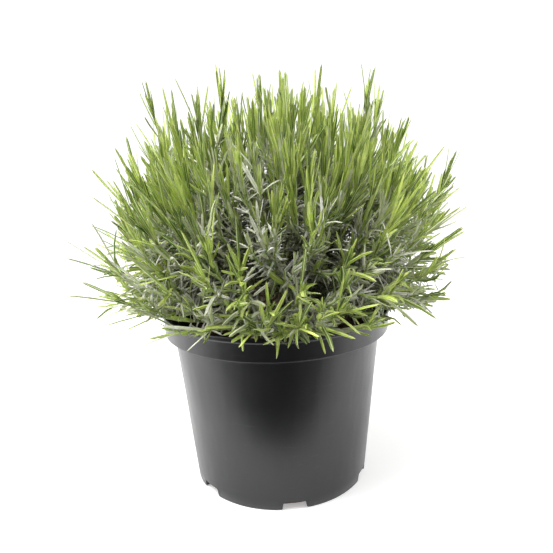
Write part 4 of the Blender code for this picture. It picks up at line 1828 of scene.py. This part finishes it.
@dataclass
class NurseryPot:
    """The moulded pot, with a rolled lip, a stepped band and notches under its foot."""

    node: str = "nursery_pot"
    sides: int = 128
    band: float = 0.018
    wall: float = 0.0014
    floor_under: float = 0.0035
    foot_ring: float = 0.0034
    foot_draft: float = 0.0012
    rim_draft: float = 0.0012
    neck_in: float = 0.0088
    foot_in: float = 0.0213
    notches: int = 6
    notch_width: float = 0.019
    notch_height: float = 0.0070
    notch_flare: float = 0.0026
    notch_reach: float = 0.012
    cut_out: float = 0.004
    notch_turn: float = math.radians(-83)

    def build(self) -> bpy.types.Object:
        """Draws the wall out of a disc, ring by ring, and cuts the notches.

        Returns:
            The pot.
        """
        low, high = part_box(self.node)
        height = high[2] - low[2]
        rim = (high[0] - low[0]) / 2
        rim_foot, neck, foot = rim - self.rim_draft, rim - self.neck_in, rim - self.foot_in
        neck_z = height - self.band
        inner_neck, inner_foot = neck - self.wall, foot - self.wall
        under = foot - self.foot_ring
        floor_radius = under - self.foot_draft
        bpy.ops.mesh.primitive_circle_add(vertices=self.sides, radius=floor_radius,
                                          fill_type="NGON", location=(0, 0, 0))
        pot = bpy.context.object
        with editing(pot):
            bpy.ops.transform.translate(value=(0, 0, self.floor_under))
            drawn_out([
                (under, 0.0004), (under + 0.0005, 0.0), (foot - 0.0006, 0.0), (foot, 0.0007),
                (foot + (neck - foot) * 0.07, neck_z * 0.07),
                (foot + (neck - foot) * 0.35, neck_z * 0.35),
                (foot + (neck - foot) * 0.7, neck_z * 0.7),
                (neck - 0.0001, neck_z - 0.0042), (neck + 0.0004, neck_z - 0.0018),
                (neck + 0.0016, neck_z - 0.0006),
                (rim_foot - 0.0008, neck_z - 0.0002), (rim_foot - 0.0002, neck_z + 0.0002),
                (rim_foot, neck_z + 0.0010),
                (rim - 0.0010, height - 0.0046), (rim - 0.0008, height - 0.0040),
                (rim - 0.0002, height - 0.0035), (rim, height - 0.0030),
                (rim, height - 0.0006), (rim - 0.0004, height), (rim - 0.0012, height),
                (rim - 0.0016, height - 0.0006),
                (rim_foot - self.wall, neck_z + self.wall),
                (inner_neck, neck_z + self.wall - 0.0006),
                (inner_foot, self.floor_under + self.wall)],
                floor_radius, self.floor_under)
            bpy.ops.mesh.select_all(action="SELECT")
            bpy.ops.mesh.normals_make_consistent(inside=False)
        self.cut_notches(pot, foot)
        settle(pot, "pot_body", math.radians(40))
        dress(pot, PotPlastic().make())
        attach(pot, "root")
        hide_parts(self.node)
        log.info("%s", pot.name)
        return pot

    def cut_notches(self, pot: bpy.types.Object, foot: float) -> None:
        """Cuts the notches out of the foot; they widen in a curve towards the ground.

        Args:
            pot: the pot.
            foot: the foot's radius.
        """
        inner, outer = foot - self.notch_reach, foot + self.cut_out
        for place in range(self.notches):
            turn = self.notch_turn + place * math.tau / self.notches
            bpy.ops.mesh.primitive_cube_add(size=1)
            cutter = bpy.context.object
            height = self.notch_height - self.notch_flare
            with editing(cutter):
                bpy.ops.transform.resize(value=(outer - inner, self.notch_width, height))
                bpy.ops.transform.translate(
                    value=((inner + outer) / 2, 0, self.notch_height - height / 2))
                choose(cutter, lambda spot: spot.z > self.notch_height - 0.0001)
                bpy.ops.transform.resize(value=(1, 0.94, 1))
                bpy.ops.mesh.bevel(offset=0.0012, segments=3)
                choose(cutter, lambda spot: spot.z < self.notch_flare + 0.0001)
                for widen, drop in ((1.02, 0.45), (1.07, 0.30), (1.16, 0.25), (1.0, 1.0)):
                    bpy.ops.mesh.extrude_region_move(
                        TRANSFORM_OT_translate={"value": (0, 0, -self.notch_flare * drop)})
                    bpy.ops.transform.resize(value=(1, widen, 1))
                bpy.ops.mesh.select_all(action="SELECT")
                bpy.ops.transform.rotate(value=-turn, orient_axis="Z",
                                         center_override=(0, 0, 0))
            apply_modifier(pot, "BOOLEAN", operation="DIFFERENCE", solver="MANIFOLD", object=cutter)
            bpy.data.objects.remove(cutter)


@dataclass
class PottingSoil:
    """The soil: an uneven crumbly top in the pot."""

    node: str = "potting_soil"
    crumbs: int = 260
    crumb_size: tuple[float, float] = (0.0008, 0.0022)
    fit: float = 0.0002
    taper: float = 0.011
    rings: int = 26

    def build(self, form: PlantForm) -> bpy.types.Object:
        """Models the soil's top from a disc and scatters crumbs of mix on it.

        Args:
            form: the plant's sizes.

        Returns:
            The soil.
        """
        low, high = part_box(self.node)
        radius = (high[0] - low[0]) / 2 - self.fit
        foot_radius = radius - self.taper
        top = form.soil_top
        bpy.ops.mesh.primitive_circle_add(vertices=96, radius=foot_radius, fill_type="NGON")
        soil = bpy.context.object
        with editing(soil):
            bpy.ops.transform.translate(value=(0, 0, low[2]))
            drawn_out([(foot_radius + 0.008, top * 0.75), (radius, top - 0.0008)]
                      + [(radius * (1 - k / self.rings), top) for k in range(1, self.rings)],
                      foot_radius, low[2])
            bpy.ops.mesh.merge(type="CENTER")
            bpy.ops.mesh.select_all(action="SELECT")
            bpy.ops.mesh.normals_make_consistent(inside=False)
        for vert in soil.data.vertices:
            if vert.co.z > top - 0.0005 and vert.co.xy.length < radius - 0.001:
                lumps = noise.noise(vert.co * 45) * 0.0012 + noise.noise(vert.co * 240) * 0.0009
                vert.co.z = min(top + lumps, high[2] + 0.001)
        settle(soil, "soil_body", math.radians(80))
        skin = PottingMix().make()
        dress(soil, skin)
        crumbs = self.scatter(radius, top)
        dress(crumbs, skin)
        for piece in (soil, crumbs):
            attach(piece, "root")
            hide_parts(self.node)
            log.info("%s", piece.name)
        return soil

    def scatter(self, radius: float, top: float) -> bpy.types.Object:
        """Lays crumbs over the soil's top.

        Args:
            radius: the top's radius.
            top: its height.

        Returns:
            All crumbs as one piece.
        """
        draw = random.Random("crumbs")
        bpy.ops.mesh.primitive_ico_sphere_add(subdivisions=1, radius=1)
        master = bpy.context.object
        for vert in master.data.vertices:
            vert.co *= 1 + 0.25 * noise.noise(vert.co * 2.1)
        body = bmesh.new()
        for place in range(self.crumbs):
            size = draw.uniform(*self.crumb_size)
            out = radius * 0.97 * math.sqrt(draw.random())
            angle = place * GOLDEN_ANGLE
            matrix = (Matrix.Translation((out * math.cos(angle), out * math.sin(angle),
                                          top + size * 0.3))
                      @ Matrix.Rotation(draw.uniform(0, math.tau), 4, Vector(
                          (draw.random() + 0.1, draw.random(), draw.random())))
                      @ Matrix.Diagonal((size * draw.uniform(0.8, 2.2), size, size * 0.7, 1)))
            before = len(body.verts)
            body.from_mesh(master.data)
            body.verts.ensure_lookup_table()
            bmesh.ops.transform(body, matrix=matrix, verts=body.verts[before:])
        mesh = bpy.data.meshes.new("soil_crumbs")
        body.to_mesh(mesh)
        body.free()
        bpy.data.objects.remove(master)
        crumbs = bpy.data.objects.new("soil_crumbs", mesh)
        bpy.context.scene.collection.objects.link(crumbs)
        return settle(crumbs, "soil_crumbs", math.radians(30))


@dataclass
class WoodyCrown:
    """The knobbly crown of old wood that the branches spring from."""

    node: str = "woody_crown"
    knots: float = 0.0008
    fineness: float = 420

    def build(self, source: bpy.types.Object) -> bpy.types.Object:
        """Refines the crown's own solid with knots and grooves of bark.

        Args:
            source: the crown's solid.

        Returns:
            The crown.
        """
        take(source)
        bpy.ops.object.duplicate()
        crown = bpy.context.object
        with editing(crown):
            bpy.ops.mesh.subdivide(number_cuts=2, smoothness=0.3)
        for vert in crown.data.vertices:
            vert.co += vert.normal * (self.knots * noise.noise(vert.co * self.fineness))
        settle(crown, "crown_wood", math.radians(70))
        dress(crown, OldBark().make())
        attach(crown, "root")
        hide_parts(self.node)
        log.info("%s", crown.name)
        return crown


# ---------------------------------------------------------------- studio

@dataclass
class Studio:
    """White paper, soft light from above and both sides, and the camera in front.

    Each panel has its name, place, size and power.
    """

    camera_place: tuple[float, float, float] = (0.0, -0.482, 0.278)
    yaw: float = math.radians(0.15)
    pitch: float = math.radians(12.5)
    roll: float = math.radians(-2.09)
    lens: float = 38.2
    paper_width: float = 2.0
    paper_depth: float = 1.2
    paper_front: float = 0.15
    backdrop: float = 1.2
    sky: float = 0.45
    front_sky: float = 0.06
    top_sky: float = 0.35
    lit_point: tuple[float, float, float] = (0, 0, 0.18)
    panels: tuple[tuple[str, tuple[float, float, float], float, float], ...] = (
        ("left_panel", (-1.25, -0.30, 0.75), 1.1, 17.0),
        ("right_panel", (1.30, -0.10, 0.60), 0.9, 12.5),
        ("top_panel", (-0.35, -0.30, 1.45), 0.7, 22.0))

    def build(self) -> None:
        """Builds the floor, the lights and the camera."""
        self.lay_floor()
        self.hang_lights()
        self.place_camera()

    def lay_floor(self) -> None:
        """Lays a wide sheet of white paper under the pot, with its edge in front of it."""
        bpy.ops.mesh.primitive_plane_add(size=1)
        floor = bpy.context.object
        with editing(floor):
            bpy.ops.transform.resize(value=(self.paper_width, self.paper_depth, 1))
            bpy.ops.transform.translate(value=(0, self.paper_depth / 2 - self.paper_front, 0))
            bpy.ops.mesh.subdivide(number_cuts=4)
        settle(floor, "studio_floor")
        dress(floor, FloorPaper().make())

    def hang_lights(self) -> None:
        """Lights the scene from a white sky and three soft panels."""
        scene = bpy.context.scene
        world = bpy.data.worlds.new("studio_sky")
        world.use_nodes = True
        wiring = Wiring(world.node_tree)
        way = wiring.node("ShaderNodeSeparateXYZ")
        wiring.join(wiring.node("ShaderNodeTexCoord").outputs["Generated"], way.inputs[0])
        front = wiring.ramp(way.outputs["Y"], -0.95, -0.35, self.front_sky, self.sky)
        above = wiring.ramp(way.outputs["Z"], 0.1, 0.9, 0.0, self.top_sky)
        background = world.node_tree.nodes["Background"]
        background.inputs["Color"].default_value = (1, 1, 1, 1)
        seen = wiring.node("ShaderNodeLightPath").outputs["Is Camera Ray"]
        lit = wiring.maths("ADD", front, above)
        wiring.join(wiring.maths("MAXIMUM", lit, wiring.maths("MULTIPLY", seen, self.backdrop)),
                    background.inputs["Strength"])
        scene.world = world
        for name, place, size, power in self.panels:
            lamp = bpy.data.lights.new(name, "AREA")
            lamp.energy = power
            lamp.size = size
            panel = bpy.data.objects.new(name, lamp)
            panel.location = place
            aim = Vector(self.lit_point) - panel.location
            panel.rotation_euler = aim.to_track_quat("-Z", "Y").to_euler()
            scene.collection.objects.link(panel)
        scene.view_settings.view_transform = "Standard"

    def place_camera(self) -> None:
        """Puts the camera in front, a little above the pot's rim and looking down."""
        ahead = Vector((math.sin(self.yaw) * math.cos(self.pitch),
                        math.cos(self.yaw) * math.cos(self.pitch), -math.sin(self.pitch)))
        right = Vector((math.cos(self.yaw), -math.sin(self.yaw), 0))
        up = right.cross(ahead)
        right, up = (right * math.cos(self.roll) + up * math.sin(self.roll),
                     up * math.cos(self.roll) - right * math.sin(self.roll))
        camera = bpy.data.objects.new("camera", bpy.data.cameras.new("camera"))
        camera.data.lens = self.lens
        camera.data.sensor_width = 36
        turned = Matrix((right, up, -ahead)).transposed().to_4x4()
        camera.matrix_world = Matrix.Translation(self.camera_place) @ turned
        bpy.context.scene.collection.objects.link(camera)
        bpy.context.scene.camera = camera


def write_sizes() -> None:
    """Updates the view layer."""

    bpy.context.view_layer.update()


def main() -> None:
    """Builds the pot, the soil, the crown, the foliage and the studio."""
    logging.basicConfig(level=logging.INFO, format="%(name)s: %(message)s")
    deselect_all()
    form = PlantForm()
    crown_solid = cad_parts["woody_crown"]
    tree = BVHTree.FromPolygons([vert.co[:] for vert in crown_solid.data.vertices],
                                [face.vertices[:] for face in crown_solid.data.polygons])
    NurseryPot().build()
    PottingSoil().build(form)
    WoodyCrown().build(crown_solid)
    branches = Growth(form, tree).grow()
    low, high = CAD_BOX
    Foliage(form, branches, Vector(low), Vector(high)).build()
    Studio().build()
    write_sizes()


if __name__ == "__main__":
    main()
